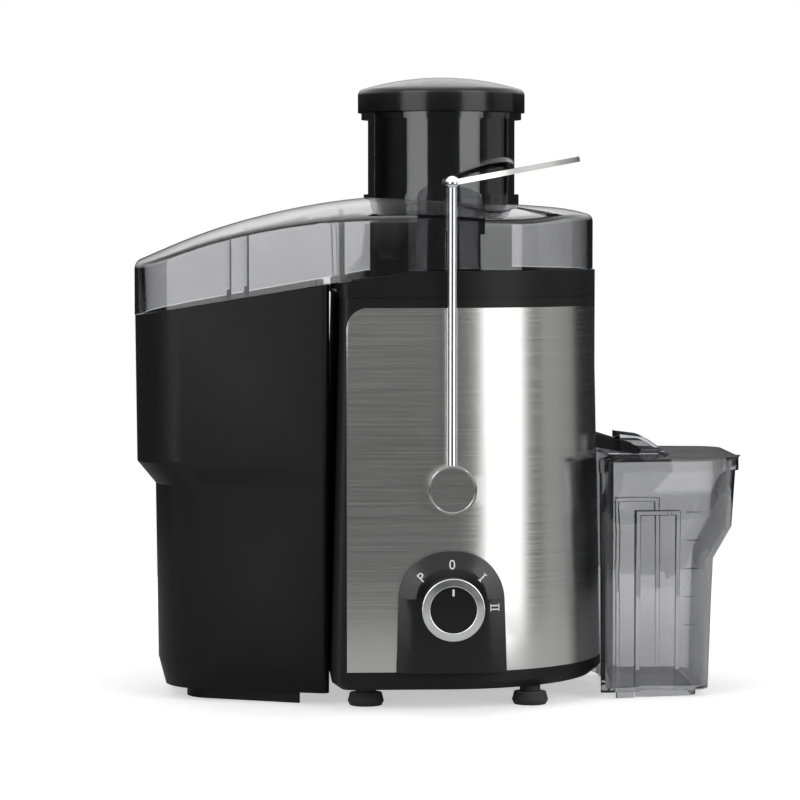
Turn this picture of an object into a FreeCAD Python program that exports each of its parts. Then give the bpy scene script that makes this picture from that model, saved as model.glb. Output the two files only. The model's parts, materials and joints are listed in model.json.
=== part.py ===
"""A centrifugal juicer: motor base, strainer, lid with feed chute, locking arm, pulp bin and juice jug.

Millimetres. The origin is on the table, under the motor axis. +Z is up, the dial faces -Y, the pulp bin
stands at -X and the jug at +X.
"""
import FreeCAD, Part
import Sketcher
import math
import operator
import os

from FreeCAD import Placement, Rotation, Vector

SIZES = [
    ("body_draft", 3.8, "how much narrower the housing is at its top"),
    ("body_top_radius", "=body_foot_radius - body_draft", "housing radius at its top"),
    ("body_foot_radius", 79.8, "housing radius at its foot"),
    ("body_left_top", 53.0, "motor axis to the flat left wall, at the top"),
    ("body_left_foot", 57.0, "motor axis to the flat left wall, at the foot"),
    ("body_corner", 5.0, "radius of the housing's left corners"),
    ("body_bottom", 19.0, "table to the housing's lower edge"),
    ("body_top", 198.0, "table to the housing's upper edge"),
    ("body_wall", 2.6, "housing wall behind the steel"),
    ("deck_cover", 1.34, "deck above the arm's bushes"),
    ("deck_top", "=pivot_height + pivot_pin + running_fit + bush_wall + deck_cover",
     "table to the floor of the bowl well"),
    ("deck_thick", 4.0, "floor of the bowl well"),
    ("deck_bore", 14.0, "radius of the shaft opening in the deck"),
    ("panel_thick", 1.0, "steel panel"),
    ("panel_gap", 0.1, "gap round the steel panel"),
    ("panel_left", 50.0, "motor axis to the panel's left edge"),
    ("panel_top", 193.0, "table to the panel's upper edge"),
    ("panel_corner", 10.0, "radius of the panel's upper corners"),
    ("boss_radius", 6.0, "screw bosses in the housing"),
    ("boss_height", 20.0, "screw bosses in the housing"),
    ("boss_sink", 0.3, "how far the screw bosses go into the wall"),
    ("boss_turn", 50.0, "jug side to the right screws, degrees"),
    ("boss_reach", "=body_foot_radius - panel_thick - body_wall - boss_radius + boss_sink",
     "motor axis to the screw bosses"),
    ("screw_radius", 1.8, "base screws"),
    ("screw_head", 3.6, "radius of the screw heads"),
    ("screw_head_height", 2.2, "screw heads"),
    ("base_bottom", 10.0, "table to the underside of the base plate"),
    ("base_chamfer", 4.0, "slope under the base plate's edge"),
    ("vents", 12, "number of air slots under the fan"),
    ("vent_half", 2.0, "half width of the air slots"),
    ("foot_radius", 8.8, "suction feet"),
    ("foot_height", 6.0, "suction feet below their neck"),
    ("foot_neck", 5.0, "radius of the feet's necks"),
    ("foot_reach_x", 40.0, "motor axis to the feet, sideways"),
    ("foot_reach_y", 54.0, "motor axis to the feet, to the front"),
    ("dial_height", 52.8, "table to the centre of the dial plate's arch"),
    ("dial_arch", 24.5, "radius of the dial plate's arch"),
    ("dial_foot", 26.4, "half width of the dial plate's foot"),
    ("dial_out", 4.7, "how far the dial plate stands out from the housing's foot"),
    ("dial_depth", 14.5, "dial plate, front to back"),
    ("dial_front", "=body_foot_radius + dial_out", "motor axis to the dial plate's face"),
    ("dial_back", "=dial_front - dial_depth", "motor axis to the back of the dial plate"),
    ("dial_bevel", 3.0, "fall of the dial plate's sloping edge"),
    ("dial_slope", 8.5, "width of that sloping edge"),
    ("knob_height", 50.4, "table to the knob's centre"),
    ("knob_radius", 15.0, "outside of the knob's bright ring"),
    ("knob_face", 11.0, "radius of the knob's black face"),
    ("knob_depth", 9.0, "how far the knob stands out"),
    ("knob_gap", 0.5, "between knob and dial plate, and under the spindle's end"),
    ("knob_recess", 1.0, "knob face behind its ring"),
    ("spindle_radius", 3.0, "switch spindle"),
    ("running_fit", 0.06, "radial play of pins and spindles"),
    ("switch_width", 28.0, "rotary switch"),
    ("switch_depth", 18.0, "rotary switch"),
    ("switch_gap", 3.0, "between arm bush and safety switch"),
    ("pivot_height", 106.6, "table to the arm's pivot"),
    ("pivot_pin", 5.0, "radius of the arm's pivot pins"),
    ("hub_radius", 11.8, "arm's pivot hubs"),
    ("hub_thick", 6.4, "arm's pivot hubs"),
    ("hub_gap", 0.6, "between hub and steel panel"),
    ("bush_wall", 3.0, "wall of the arm's bushes"),
    ("bush_length", 14.0, "arm's bushes"),
    ("rod_radius", 2.4, "arm rods"),
    ("rod_gap", 1.0, "between arm rods and locking lugs"),
    ("pivot_face", "=body_foot_radius + (body_top_radius - body_foot_radius) * "
     "(pivot_height - body_bottom) / (body_top - body_bottom)",
     "motor axis to the panel at the pivots"),
    ("rod_reach", "=max(pivot_face + hub_gap + hub_thick / 2; lug_front + rod_gap + rod_radius)",
     "motor axis to the arm rods"),
    ("ball_height", 252.5, "table to the ball ends of the arm rods"),
    ("ball_radius", 3.4, "ball ends of the arm rods"),
    ("handle_reach", 70.0, "ball ends to the tip of the handle"),
    ("handle_tip_width", 13.0, "handle at its tip"),
    ("handle_end_width", 5.6, "handle at its ends"),
    ("handle_thick", 2.6, "handle strip"),
    ("handle_tilt", 10.5, "rise of the handle towards its tip, degrees"),
    ("bowl_gap", 0.4, "between bowl and housing"),
    ("bowl_wall", 2.0, "juice bowl"),
    ("bowl_lift", 6.0, "between the well's floor and the bowl"),
    ("bowl_bottom", "=deck_top + bowl_lift", "table to the underside of the bowl"),
    ("bowl_floor", 2.5, "floor of the bowl"),
    ("band_overhang", 0.6, "bowl band beyond the housing"),
    ("chimney_radius", 12.5, "bore of the bowl's chimney"),
    ("chimney_height", 14.0, "bowl's chimney"),
    ("chimney_top", "=bowl_bottom + chimney_height", "table to the top of the bowl's chimney"),
    ("spout_half", 13.0, "half the outside width of the spout"),
    ("spout_over", 15.0, "how far the spout reaches over the jug"),
    ("spout_reach", "=jug_hollow_reach + spout_over", "motor axis to the spout's tip"),
    ("spout_fall", 3.4, "fall of the spout below the bowl"),
    ("spout_tip", "=bowl_bottom - spout_fall", "table to the underside of the spout's tip"),
    ("seam_high", 210.5, "table to the seam between bowl band and lid"),
    ("seam_bend", 20.0, "motor axis to where the seam starts to fall"),
    ("seam_slope", 9.6, "fall of the seam towards the pulp bin, degrees"),
    ("seam_gap", 0.4, "gap at the seam under the lid"),
    ("lid_step", 0.5, "lid set in from the housing's top"),
    ("lid_radius", "=body_top_radius - lid_step", "round part of the lid"),
    ("lid_wall", 2.2, "lid wall"),
    ("lid_fillet", 4.0, "rounded upper edge of the lid"),
    ("lid_ridge", 246.5, "table to the highest line of the lid's roof"),
    ("lid_crown", 15.0, "fall of the roof from its ridge to its half width"),
    ("roof_half", 90.0, "half width over which the roof falls"),
    ("rib_root", 51.5, "motor axis to the inner ribs where the tongue starts"),
    ("rib_near", 97.0, "motor axis to the middle inner ribs of the tongue"),
    ("rib_far", 105.5, "motor axis to the outer inner ribs"),
    ("tongue_left", 152.0, "motor axis to the end of the lid's tongue"),
    ("tongue_half", 45.0, "half width of the tongue at its end"),
    ("tongue_corner", 30.0, "corners of the tongue's end"),
    ("tongue_start", 30.0, "motor axis to where the tongue starts to narrow"),
    ("chute_radius", 36.5, "outside of the feed chute"),
    ("chute_bore", 33.5, "bore of the feed chute"),
    ("chute_top", 287.6, "table to the chute's flange"),
    ("chute_clear", 5.6, "between grater disc and chute"),
    ("chute_bottom", "=coupling_high + chute_clear", "table to the lower end of the chute"),
    ("chute_neck", 35.4, "outside of the chute below the lid"),
    ("chute_flange", 39.8, "chute flange"),
    ("chute_flange_thick", 3.0, "chute flange"),
    ("collar_radius", 38.6, "ring where the chute meets the lid"),
    ("collar_top", 247.6, "table to the top of that ring"),
    ("collar_bottom", 240.0, "table to the foot of that ring"),
    ("lug_half", 16.0, "half width of the locking lugs"),
    ("lug_top", 250.6, "table to the top of the locking lugs"),
    ("lug_out", 2.9, "how far the locking lugs stand out from the lid"),
    ("lug_front", "=lid_radius + lug_out", "motor axis to the lugs' outer face"),
    ("lug_depth", 8.0, "locking lugs"),
    ("lug_bottom", 228.0, "table to the foot of the locking lugs"),
    ("lug_shoulder", 12.0, "radius of the lug's right shoulder"),
    ("lug_corner", 5.0, "radius of the lug's left corner"),
    ("pusher_gap", 0.5, "between pusher and chute"),
    ("pusher_wall", 2.2, "pusher tube"),
    ("pusher_lift", 1.0, "pusher's end above the chute's"),
    ("pusher_bottom", "=chute_bottom + pusher_lift", "table to the pusher's lower end"),
    ("cap_radius", 41.5, "pusher cap"),
    ("cap_bottom", 288.0, "table to the pusher cap's underside"),
    ("cap_shoulder", 299.0, "table to the cap's shoulder"),
    ("cap_top", 305.5, "table to the top of the cap"),
    ("bin_gap", 0.8, "between pulp bin and housing"),
    ("bin_wall", 2.2, "pulp bin"),
    ("bin_corner", 3.0, "bin's corners beside the housing"),
    ("bin_bottom", 6.0, "table to the underside of the pulp bin"),
    ("bin_left_low", 141.0, "motor axis to the bin's left wall, below its step"),
    ("bin_step_low", 106.0, "table to the foot of the bin's step"),
    ("bin_step_high", 117.0, "table to the head of the bin's step"),
    ("bin_chamfer", 7.0, "slope under the bin"),
    ("bin_foot_rim", 14.0, "bin's foot rim, set in from its outline"),
    ("bin_draft", 7.0, "how much narrower the bin is at its foot"),
    ("jug_gap", 4.2, "between the housing's foot and the middle of the jug's near wall"),
    ("jug_hollow_reach", "=body_foot_radius + jug_gap", "motor axis to the middle of the jug's near wall"),
    ("jug_corner_back", 11.0, "how far the near corners reach back beside the housing"),
    ("jug_near", "=jug_hollow_reach - jug_corner_back", "motor axis to the jug's near corners"),
    ("jug_length", 60.0, "jug at its rim"),
    ("jug_far", "=jug_hollow_reach + jug_length", "motor axis to the jug's far wall, at the rim"),
    ("jug_length_low", 47.0, "jug at its foot"),
    ("jug_far_low", "=jug_hollow_reach + jug_length_low", "motor axis to the jug's far wall, at the foot"),
    ("jug_half_near", 50.0, "half depth of the jug, near side"),
    ("jug_half_far", 40.0, "half depth of the jug, far side"),
    ("jug_corner", 12.0, "corners of the jug"),
    ("jug_hollow", 120.0, "radius of the jug's hollow near wall"),
    ("jug_wall", 2.0, "jug wall"),
    ("jug_bottom", 3.5, "table to the jug's floor"),
    ("jug_clear", 1.6, "between the jug's rim and the spout's tip"),
    ("jug_rim", "=spout_tip - jug_clear", "table to the jug's rim"),
    ("jug_step_low", 68.0, "table to the foot of the jug's step"),
    ("jug_step_high", 84.0, "table to the head of the jug's step"),
    ("jug_band", 5.0, "height of the band under the jug's rim"),
    ("jug_band_out", 1.2, "how far that band stands out"),
    ("jug_taper", 4.0, "how much narrower the jug is at its foot"),
    ("grip_start", 11.0, "near wall to the grip groove"),
    ("grip_near", "=jug_hollow_reach + grip_start", "motor axis to the near side of the grip groove"),
    ("grip_width", 18.0, "grip groove"),
    ("grip_floor", 37.0, "middle of the jug to the floor of the grip groove"),
    ("grip_top", 90.5, "table to the head of the grip groove"),
    ("lip_out", 7.0, "how far the pouring lip stands out"),
    ("lip_reach", "=jug_far + lip_out", "motor axis to the tip of the pouring lip"),
    ("lip_half", 12.0, "half width of the pouring lip"),
    ("lip_depth", 16.0, "pouring lip"),
    ("jug_lid_thick", 1.6, "jug lid"),
    ("jug_lid_slot", 15.0, "half width of the lid's slot under the spout"),
    ("hood_start", 4.0, "near wall to the hood's open side"),
    ("hood_near", "=jug_hollow_reach + hood_start", "motor axis to the hood's open side"),
    ("hood_length", 25.0, "hood on the jug lid"),
    ("hood_far", "=hood_near + hood_length", "motor axis to the hood's far side"),
    ("hood_height", 10.0, "hood on the jug lid"),
    ("shaft_radius", 4.0, "motor shaft"),
    ("shaft_bottom", 20.6, "table to the shaft's lower end"),
    ("shaft_cover", 2.0, "shaft's end below the basket's floor"),
    ("shaft_top", "=basket_floor - shaft_cover", "table to the shaft's upper end"),
    ("core_low", 56.0, "table to the foot of stator and armature"),
    ("upper_leg", 8.0, "between stator and upper bracket"),
    ("core_high", "=upper_bracket - upper_leg", "table to the head of stator and armature"),
    ("core_radius", 22.0, "armature"),
    ("air_gap", 0.6, "between armature and stator"),
    ("stator_side", 76.0, "stator stack, square"),
    ("stator_corner", 8.0, "corners of the stator stack"),
    ("coil_inner", 25.0, "motor axis to the field coils"),
    ("coil_thick", 8.0, "field coils"),
    ("coil_half", 24.0, "half length of the field coils"),
    ("coil_overhang", 4.0, "coils beyond the stack"),
    ("winding_radius", 19.0, "end turns of the armature"),
    ("winding_height", 4.5, "end turns of the armature"),
    ("commutator_radius", 11.0, "commutator"),
    ("commutator_low", 42.0, "table to the foot of the commutator"),
    ("commutator_high", 50.0, "table to the head of the commutator"),
    ("brush_gap", 0.3, "between brush and commutator"),
    ("brush_side", 5.0, "carbon brushes, square"),
    ("brush_length", 12.0, "carbon brushes"),
    ("holder_wall", 1.5, "brush holders"),
    ("bearing_radius", 11.0, "ball bearings, outside"),
    ("bearing_height", 7.0, "ball bearings"),
    ("bearing_play", 0.02, "shaft in the bearings"),
    ("bracket_thick", 4.0, "motor brackets"),
    ("lower_bracket", 33.0, "table to the lower bracket"),
    ("mount_height", 8.0, "rubber motor mounts"),
    ("upper_bracket", "=deck_top - deck_thick - mount_height - bracket_thick",
     "table to the upper bracket"),
    ("bolt_radius", 2.0, "motor bolts"),
    ("bolt_reach", 32.0, "motor axis to the bolts, both ways"),
    ("bolt_play", 0.3, "bolts in their holes"),
    ("leg_radius", 5.0, "bracket legs round the bolts"),
    ("mount_radius", 7.0, "rubber motor mounts"),
    ("fan_radius", 34.0, "cooling fan"),
    ("fan_height", 9.0, "cooling fan"),
    ("fan_hub", 8.0, "hub of the fan"),
    ("fan_blade", 1.6, "fan blades"),
    ("fan_blades", 10, "number of fan blades"),
    ("coupling_radius", 11.0, "drive coupling"),
    ("coupling_lift", 4.0, "between the well's floor and the coupling"),
    ("coupling_low", "=deck_top + coupling_lift", "table to the foot of the drive coupling"),
    ("coupling_head", 6.4, "head of the coupling inside the basket"),
    ("coupling_high", "=basket_floor + coupling_head", "table to the head of the drive coupling"),
    ("coupling_lug", 3.0, "driving lugs of the coupling"),
    ("basket_lift", 4.0, "between the chimney and the basket's floor"),
    ("basket_floor", "=chimney_top + basket_lift", "table to the underside of the basket"),
    ("basket_low_radius", 38.6, "strainer at its foot, outside"),
    ("basket_top_radius", 43.6, "strainer at its rim, outside"),
    ("basket_top", 197.0, "table to the strainer's upper edge"),
    ("basket_skin", 0.8, "strainer sheet"),
    ("basket_slots", 40, "number of strainer slots"),
    ("basket_slot_width", 1.4, "strainer slots"),
    ("rim_radius", 45.0, "strainer's top ring"),
    ("rim_height", 5.0, "strainer's top ring"),
    ("grater_radius", 36.5, "grater disc"),
    ("grater_thick", 1.0, "grater disc"),
    ("tooth_height", 1.6, "grater teeth"),
    ("tooth_base", 1.1, "radius of a grater tooth at its foot"),
    ("tooth_rows", 5, "rings of grater teeth"),
    ("gland_radius", 7.0, "cord gland"),
    ("gland_bore", 3.6, "cord gland's bore"),
    ("gland_x", 38.0, "motor axis to the cord gland, to the left"),
    ("gland_gap", 2.0, "between screw bosses and cord gland"),
    ("gland_z", "=body_bottom + boss_height + gland_radius + gland_gap", "table to the cord gland"),
]

doc = FreeCAD.newDocument("CentrifugalJuicer")
sheet = doc.addObject("Spreadsheet::Sheet", "Sizes")
for row, (alias, _, meaning) in enumerate(SIZES, start=1):
    sheet.set("A%d" % row, meaning)
    sheet.setAlias("B%d" % row, alias)
for row, (_, value, _) in enumerate(SIZES, start=1):
    sheet.set("B%d" % row, str(value))
doc.recompute()


class Size:
    """A length from the sheet, or one worked out from others: its value and its formula."""

    SIGNS = {"+": operator.add, "-": operator.sub, "*": operator.mul, "/": operator.truediv}

    def __init__(self, value, formula=None):
        self.value = float(value)
        self.formula = formula if formula else "%r" % self.value

    def joined(self, sign, other):
        other = other if isinstance(other, Size) else Size(other)
        value = Size.SIGNS[sign](self.value, other.value)
        return Size(value, "(%s %s %s)" % (self.formula, sign, other.formula))

    def __add__(self, other):
        return self.joined("+", other)

    def __sub__(self, other):
        return self.joined("-", other)

    def __mul__(self, other):
        return self.joined("*", other)

    def __truediv__(self, other):
        return self.joined("/", other)

    def __neg__(self):
        return Size(0).joined("-", self)

    def __float__(self):
        return self.value


class Sheet:
    """The sheet's sizes by name."""

    def __getattr__(self, alias):
        return Size(sheet.get(alias), "Sizes." + alias)


dim = Sheet()
nodes = []


def num(alias):
    """A sheet value as a plain number, for shapes that are worked out by hand."""
    return float(sheet.get(alias))


def as_size(value):
    return value if isinstance(value, Size) else Size(value)


def node(obj, label):
    """Names a finished sub-part, which is written to a file of that name."""
    obj.Label = label
    nodes.append(obj)
    return obj


def place(obj, x=0, y=0, z=0, rotation=None):
    """Puts an object down, with its place bound to the sheet."""
    if rotation:
        obj.Placement = Placement(Vector(float(x), float(y), float(z)), rotation)
    for axis, value in (("x", x), ("y", y), ("z", z)):
        obj.setExpression("Placement.Base." + axis, as_size(value).formula)
    return obj


def bound(kind, name, **sizes):
    """A Part primitive whose sizes are bound to the sheet."""
    obj = doc.addObject("Part::" + kind, name)
    for prop, value in sizes.items():
        setattr(obj, prop, float(value))
        obj.setExpression(prop, as_size(value).formula)
    return obj


TURN_TO_FRONT = Rotation(Vector(1, 0, 0), 90)


def rod(name, radius, length, x=0, y=0, z=0, rotation=None):
    """A cylinder standing on (x, y, z), or lying towards -Y when turned to the front."""
    return place(bound("Cylinder", name, Radius=radius, Height=length), x, y, z, rotation)


def block(name, long, deep, high, x=0, y=0, z=0):
    """A box whose lowest corner is at (x, y, z)."""
    return place(bound("Box", name, Length=long, Width=deep, Height=high), x, y, z)


def minus(name, base, tool):
    obj = doc.addObject("Part::Cut", name)
    obj.Base = base
    obj.Tool = tool
    return obj


def joined(name, *pieces):
    obj = doc.addObject("Part::MultiFuse", name)
    obj.Shapes = list(pieces)
    obj.Refine = True
    return obj


def group(name, *pieces):
    obj = doc.addObject("Part::Compound", name)
    obj.Links = list(pieces)
    return obj


def tube(name, outer, inner, length, x=0, y=0, z=0, rotation=None):
    """A ring or sleeve: one cylinder less another."""
    body = rod(name + "Outer", outer, length, x, y, z, rotation)
    bore = rod(name + "Bore", inner, length, x, y, z, rotation)
    return minus(name, body, bore)


def turned(name, *corners):
    """A body turned about Z from a closed profile of (radius, height) corners."""
    body = doc.addObject("PartDesign::Body", name)
    sketch = body.newObject("Sketcher::SketchObject", name + "Profile")
    front = [f for f in body.Origin.OriginFeatures if f.Role == "XZ_Plane"][0]
    sketch.AttachmentSupport = [(front, "")]
    sketch.MapMode = "FlatFace"
    ends = [Vector(float(r), float(z), 0) for r, z in corners]
    for n, start in enumerate(ends):
        sketch.addGeometry(Part.LineSegment(start, ends[(n + 1) % len(ends)]), False)
    for n, (radius, height) in enumerate(corners):
        before = (n - 1) % len(corners)
        sketch.addConstraint(Sketcher.Constraint("Coincident", before, 2, n, 1))
        for kind, value in (("DistanceX", radius), ("DistanceY", height)):
            number = sketch.addConstraint(Sketcher.Constraint(kind, n, 1, float(value)))
            sketch.setExpression("Constraints[%d]" % number, as_size(value).formula)
    spin = body.newObject("PartDesign::Revolution", name + "Turn")
    spin.Profile = sketch
    spin.ReferenceAxis = (sketch, ["V_Axis"])
    spin.Angle = 360
    body.Tip = spin
    return body


def shaped(name, shape):
    """A piece that is worked out as a free shape from the sheet's values."""
    obj = doc.addObject("Part::Feature", name)
    obj.Shape = shape
    return obj


def outline(corners, z):
    """A closed flat wire at height z through (x, y, radius) corners, rounded by their radii."""
    count = len(corners)
    spots = [Vector(x, y, z) for x, y, _ in corners]
    cuts = []
    for n, (_, _, radius) in enumerate(corners):
        back = (spots[n - 1] - spots[n]).normalize()
        ahead = (spots[(n + 1) % count] - spots[n]).normalize()
        half = back.getAngle(ahead) / 2
        middle = (back + ahead).normalize()
        reach = radius / math.tan(half)
        centre = spots[n] + middle * (radius / math.sin(half))
        cuts.append((spots[n] + back * reach, centre - middle * radius, spots[n] + ahead * reach))
    edges = []
    for n, (start, top, end) in enumerate(cuts):
        if start.distanceToPoint(end) > 1e-6:
            edges.append(Part.Arc(start, top, end).toShape())
        following = cuts[(n + 1) % count][0]
        if end.distanceToPoint(following) > 1e-6:
            edges.append(Part.LineSegment(end, following).toShape())
    return Part.Wire(edges)


def loft(*wires):
    return Part.makeLoft(list(wires), True, True)


def slab(corners, near, far):
    """A prism along Y from near to far, with an outline of (x, z, radius) corners."""
    face = Part.Face(outline(corners, 0))
    face.rotate(Vector(), Vector(1, 0, 0), 90)
    face.translate(Vector(0, near, 0))
    return face.extrude(Vector(0, far - near, 0))


def cuboid(x0, x1, y0, y1, z0, z1):
    return Part.makeBox(x1 - x0, y1 - y0, z1 - z0, Vector(x0, y0, z0))


def barrel(radius, z0, z1):
    return Part.makeCylinder(radius, z1 - z0, Vector(0, 0, z0))


def cross_rod(radius, x, y0, y1, z):
    """A plain cylinder along Y."""
    return Part.makeCylinder(radius, y1 - y0, Vector(x, y0, z), Vector(0, 1, 0))


def mirrored(shape):
    """The same shape on the rear side."""
    return shape.mirror(Vector(), Vector(0, 1, 0))


FAR = 400.0
CUT_THROUGH = 1.0


def flank(z, inset):
    """Plan of the drafted housing at height z: round at the right, flat at the left."""
    share = (z - num("body_bottom")) / (num("body_top") - num("body_bottom"))
    radius = num("body_foot_radius") + share * (num("body_top_radius") - num("body_foot_radius")) - inset
    left = num("body_left_foot") + share * (num("body_left_top") - num("body_left_foot")) - inset
    corner = num("body_corner")
    return outline([(radius, -radius, radius), (radius, radius, radius),
                    (-left, radius, corner), (-left, -radius, corner)], z)


def well_block(inset, z0, z1):
    """A straight block with the plan of the housing's top, as bowl and well have."""
    radius = num("body_top_radius") - inset
    left = num("body_left_top") - inset
    corner = num("body_corner")
    plan = outline([(radius, -radius, radius), (radius, radius, radius),
                    (-left, radius, corner), (-left, -radius, corner)], z0)
    return Part.Face(plan).extrude(Vector(0, 0, z1 - z0))


SKIN = num("panel_thick") + num("body_wall")
SLOT_HALF = num("spout_half") + num("bowl_gap")
DECK_BOTTOM = num("deck_top") - num("deck_thick")
BUSH_OUTER = num("pivot_pin") + num("running_fit") + num("bush_wall")


def panel_layer(depth, clearance):
    """The skin of the housing that the steel panel fills, grown by a clearance."""
    low, high = num("body_bottom"), num("body_top")
    skin = loft(flank(low, 0), flank(high, 0)).cut(loft(flank(low, depth), flank(high, depth)))
    left = num("panel_left") + clearance
    top = num("panel_top") + clearance
    corner = num("panel_corner")
    return skin.common(slab([(-left, low, 0), (FAR, low, 0), (FAR, top, 0), (-left, top, corner)], -FAR, FAR))


def dial_arch(clearance, near, far, inset=0.0):
    """The dial plate's arch as a prism along Y."""
    foot = num("dial_foot") + clearance - inset
    arch = num("dial_arch") + clearance - inset
    top = num("dial_height") + arch
    low = num("body_bottom")
    return slab([(-foot, low, 0), (foot, low, 0), (arch, top, arch - CUT_THROUGH),
                 (-arch, top, arch - CUT_THROUGH)], near, far)


def shell_openings(clearance):
    """What passes through housing and panel: dial plate, arm bushes, spout and cord gland."""
    bush = BUSH_OUTER + clearance
    return [
        dial_arch(clearance, -FAR, -num("dial_back") + CUT_THROUGH),
        cross_rod(bush, 0, -FAR, -num("body_top_radius") / 2, num("pivot_height")),
        cross_rod(bush, 0, num("body_top_radius") / 2, FAR, num("pivot_height")),
        cuboid(num("body_top_radius") / 2, FAR, -SLOT_HALF, SLOT_HALF, num("deck_top"), FAR),
        cross_rod(num("gland_radius") + clearance, -num("gland_x"), 0, FAR, num("gland_z")),
    ]


def boss_spots():
    """Where the base is screwed to the housing."""
    reach = num("boss_reach")
    left = num("body_left_foot") - 2 * num("boss_radius")
    turn = math.radians(num("boss_turn"))
    right = reach * math.cos(turn)
    aside = reach * math.sin(turn)
    return [(-left, -reach), (-left, reach), (right, -aside), (right, aside)]


def make_housing():
    """Black shell: bowl well above, motor room below, with the steel panel let in flush."""
    low, top = num("body_bottom"), num("body_top")
    shell = loft(flank(low, 0), flank(top, 0))
    room = loft(flank(low, SKIN), flank(DECK_BOTTOM, SKIN))
    for x, y in boss_spots():
        room = room.cut(Part.makeCylinder(num("boss_radius"), num("boss_height"), Vector(x, y, low)))
    shell = shell.cut(room)
    shell = shell.cut(well_block(SKIN, num("deck_top"), top + CUT_THROUGH))
    shell = shell.cut(barrel(num("deck_bore"), DECK_BOTTOM - CUT_THROUGH, num("deck_top") + CUT_THROUGH))
    gap = num("panel_gap")
    shell = shell.cut(panel_layer(num("panel_thick") + gap, gap))
    for x, y in boss_spots():
        shell = shell.cut(Part.makeCylinder(num("screw_radius"), num("boss_height"), Vector(x, y, low)))
    return shell.cut(shell_openings(gap))


def make_panel():
    """Brushed steel wrap, open at the left and under the spout."""
    panel = panel_layer(num("panel_thick"), 0).cut(shell_openings(num("panel_gap")))
    lift = num("body_bottom") + num("panel_gap")
    return panel.cut(cuboid(-FAR, FAR, -FAR, FAR, 0, lift))


def make_base():
    """Black floor of the motor room, chamfered below, with air slots under the fan."""
    low, high, slope = num("base_bottom"), num("body_bottom"), num("base_chamfer")
    base = loft(flank(low, slope + slope / 4), flank(low + slope, 0), flank(high, 0))
    half = num("vent_half")
    slot = cuboid(num("fan_hub") * 1.5, num("fan_radius"), -half, half, 0, high + CUT_THROUGH)
    base = base.cut(around(slot, int(num("vents"))))
    for x, y in boss_spots():
        base = base.cut(Part.makeCylinder(num("screw_radius"), high, Vector(x, y, 0)))
        base = base.cut(Part.makeCylinder(num("screw_head"), low + num("screw_head_height"), Vector(x, y, 0)))
    return base


def below_seam(lift):
    """Everything under the seam between the lid and what it covers."""
    high = num("seam_high") + lift
    bend = num("seam_bend")
    fall = (FAR - bend) * math.tan(math.radians(num("seam_slope")))
    return slab([(-FAR, -FAR, 0), (FAR, -FAR, 0), (FAR, high, 0), (-bend, high, 0),
                 (-FAR, high - fall, 0)], -FAR, FAR)


PULP_HALF = num("basket_low_radius")


def pulp_window():
    """The way the pulp takes from the strainer over the bowl's left wall into the bin."""
    right = num("body_left_top") - 2 * num("bowl_wall") - SKIN - num("body_corner")
    return cuboid(-num("body_left_foot") - num("body_corner"), -right, -PULP_HALF, PULP_HALF,
                  num("body_top") + num("bowl_wall"), FAR)


def make_bowl():
    """Juice bowl: a deep pan in the well, a band above the housing, a chimney and a spout."""
    outer = SKIN + num("bowl_gap")
    inner = outer + num("bowl_wall")
    low, floor = num("bowl_bottom"), num("bowl_bottom") + num("bowl_floor")
    top, half = num("body_top"), num("spout_half")
    reach, tip, wall = num("spout_reach"), num("spout_tip"), num("bowl_wall")
    mouth = num("body_top_radius")
    bowl = well_block(outer, low, FAR).fuse(well_block(-num("band_overhang"), top, FAR))
    bowl = bowl.fuse(cuboid(0, mouth - num("bowl_gap"), -half, half, low, top))
    spout = slab([(0, floor + 4 * wall, 0), (mouth + wall, floor + 2 * wall, 0),
                  (reach - wall, tip + 2 * wall, 0), (reach, tip + wall, 0), (reach - wall / 2, tip, 0),
                  (reach - 2 * wall, tip, 0), (mouth, low, 0), (0, low, 0)], -half, half)
    bowl = bowl.fuse(spout).cut(well_block(inner, floor, FAR + CUT_THROUGH))
    ring = num("chimney_radius") + wall
    bowl = bowl.fuse(barrel(ring, low, num("chimney_top")))
    bowl = bowl.cut(barrel(num("chimney_radius"), low - CUT_THROUGH, FAR))
    open_top = mouth + wall / 2
    roof = floor + 3 * wall
    channel = slab([(ring + wall, floor, 0), (mouth, floor - wall / 2, 0), (reach - 2 * wall, tip + wall, 0),
                    (reach + 2 * wall, tip, 0), (FAR, tip, 0), (FAR, FAR, 0), (open_top, FAR, 0),
                    (open_top, roof, 0), (ring + wall, roof, 0)], wall - half, half - wall)
    return bowl.cut(channel).common(below_seam(0)).cut(pulp_window())


# The ridge of the lid's roof: distance from the motor axis and fall from its highest point.
LID_RIDGE = [(90, 17), (40, 4), (0, 0), (-50, 1.8), (-86, 8.5), (-111, 15.5), (-136, 25), (-165, 36)]


def lid_roof(drop):
    """Everything under the lid's crowned roof, which falls along its ridge towards the pulp bin."""
    half, crown, sections = num("roof_half"), num("lid_crown"), []
    for x, fall in LID_RIDGE:
        ridge = num("lid_ridge") - fall - drop
        left, right = Vector(x, half, ridge - crown), Vector(x, -half, ridge - crown)
        arc = Part.Arc(right, Vector(x, 0, ridge), left).toShape()
        foot = [left, Vector(x, half, num("deck_top")), Vector(x, -half, num("deck_top")), right]
        lines = [Part.LineSegment(foot[n], foot[n + 1]).toShape() for n in range(3)]
        sections.append(Part.Wire([arc] + lines))
    return Part.makeLoft(sections, True, False)


def lid_plan(inset, z):
    """Plan of the lid: a circle that runs out into a tapering tongue."""
    radius = num("lid_radius") - inset
    end, half = num("tongue_left") - inset, num("tongue_half") - inset
    start, corner, sweep = num("tongue_start"), num("tongue_corner") - inset, num("lid_radius")
    return outline([(radius, -radius, radius), (radius, radius, radius), (-start, radius, sweep),
                    (-end, half, corner), (-end, -half, corner), (-start, -radius, sweep)], z)


def lid_block(inset):
    low = num("deck_top") + inset
    return Part.Face(lid_plan(inset, low)).extrude(Vector(0, 0, FAR)).common(lid_roof(inset))


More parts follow.
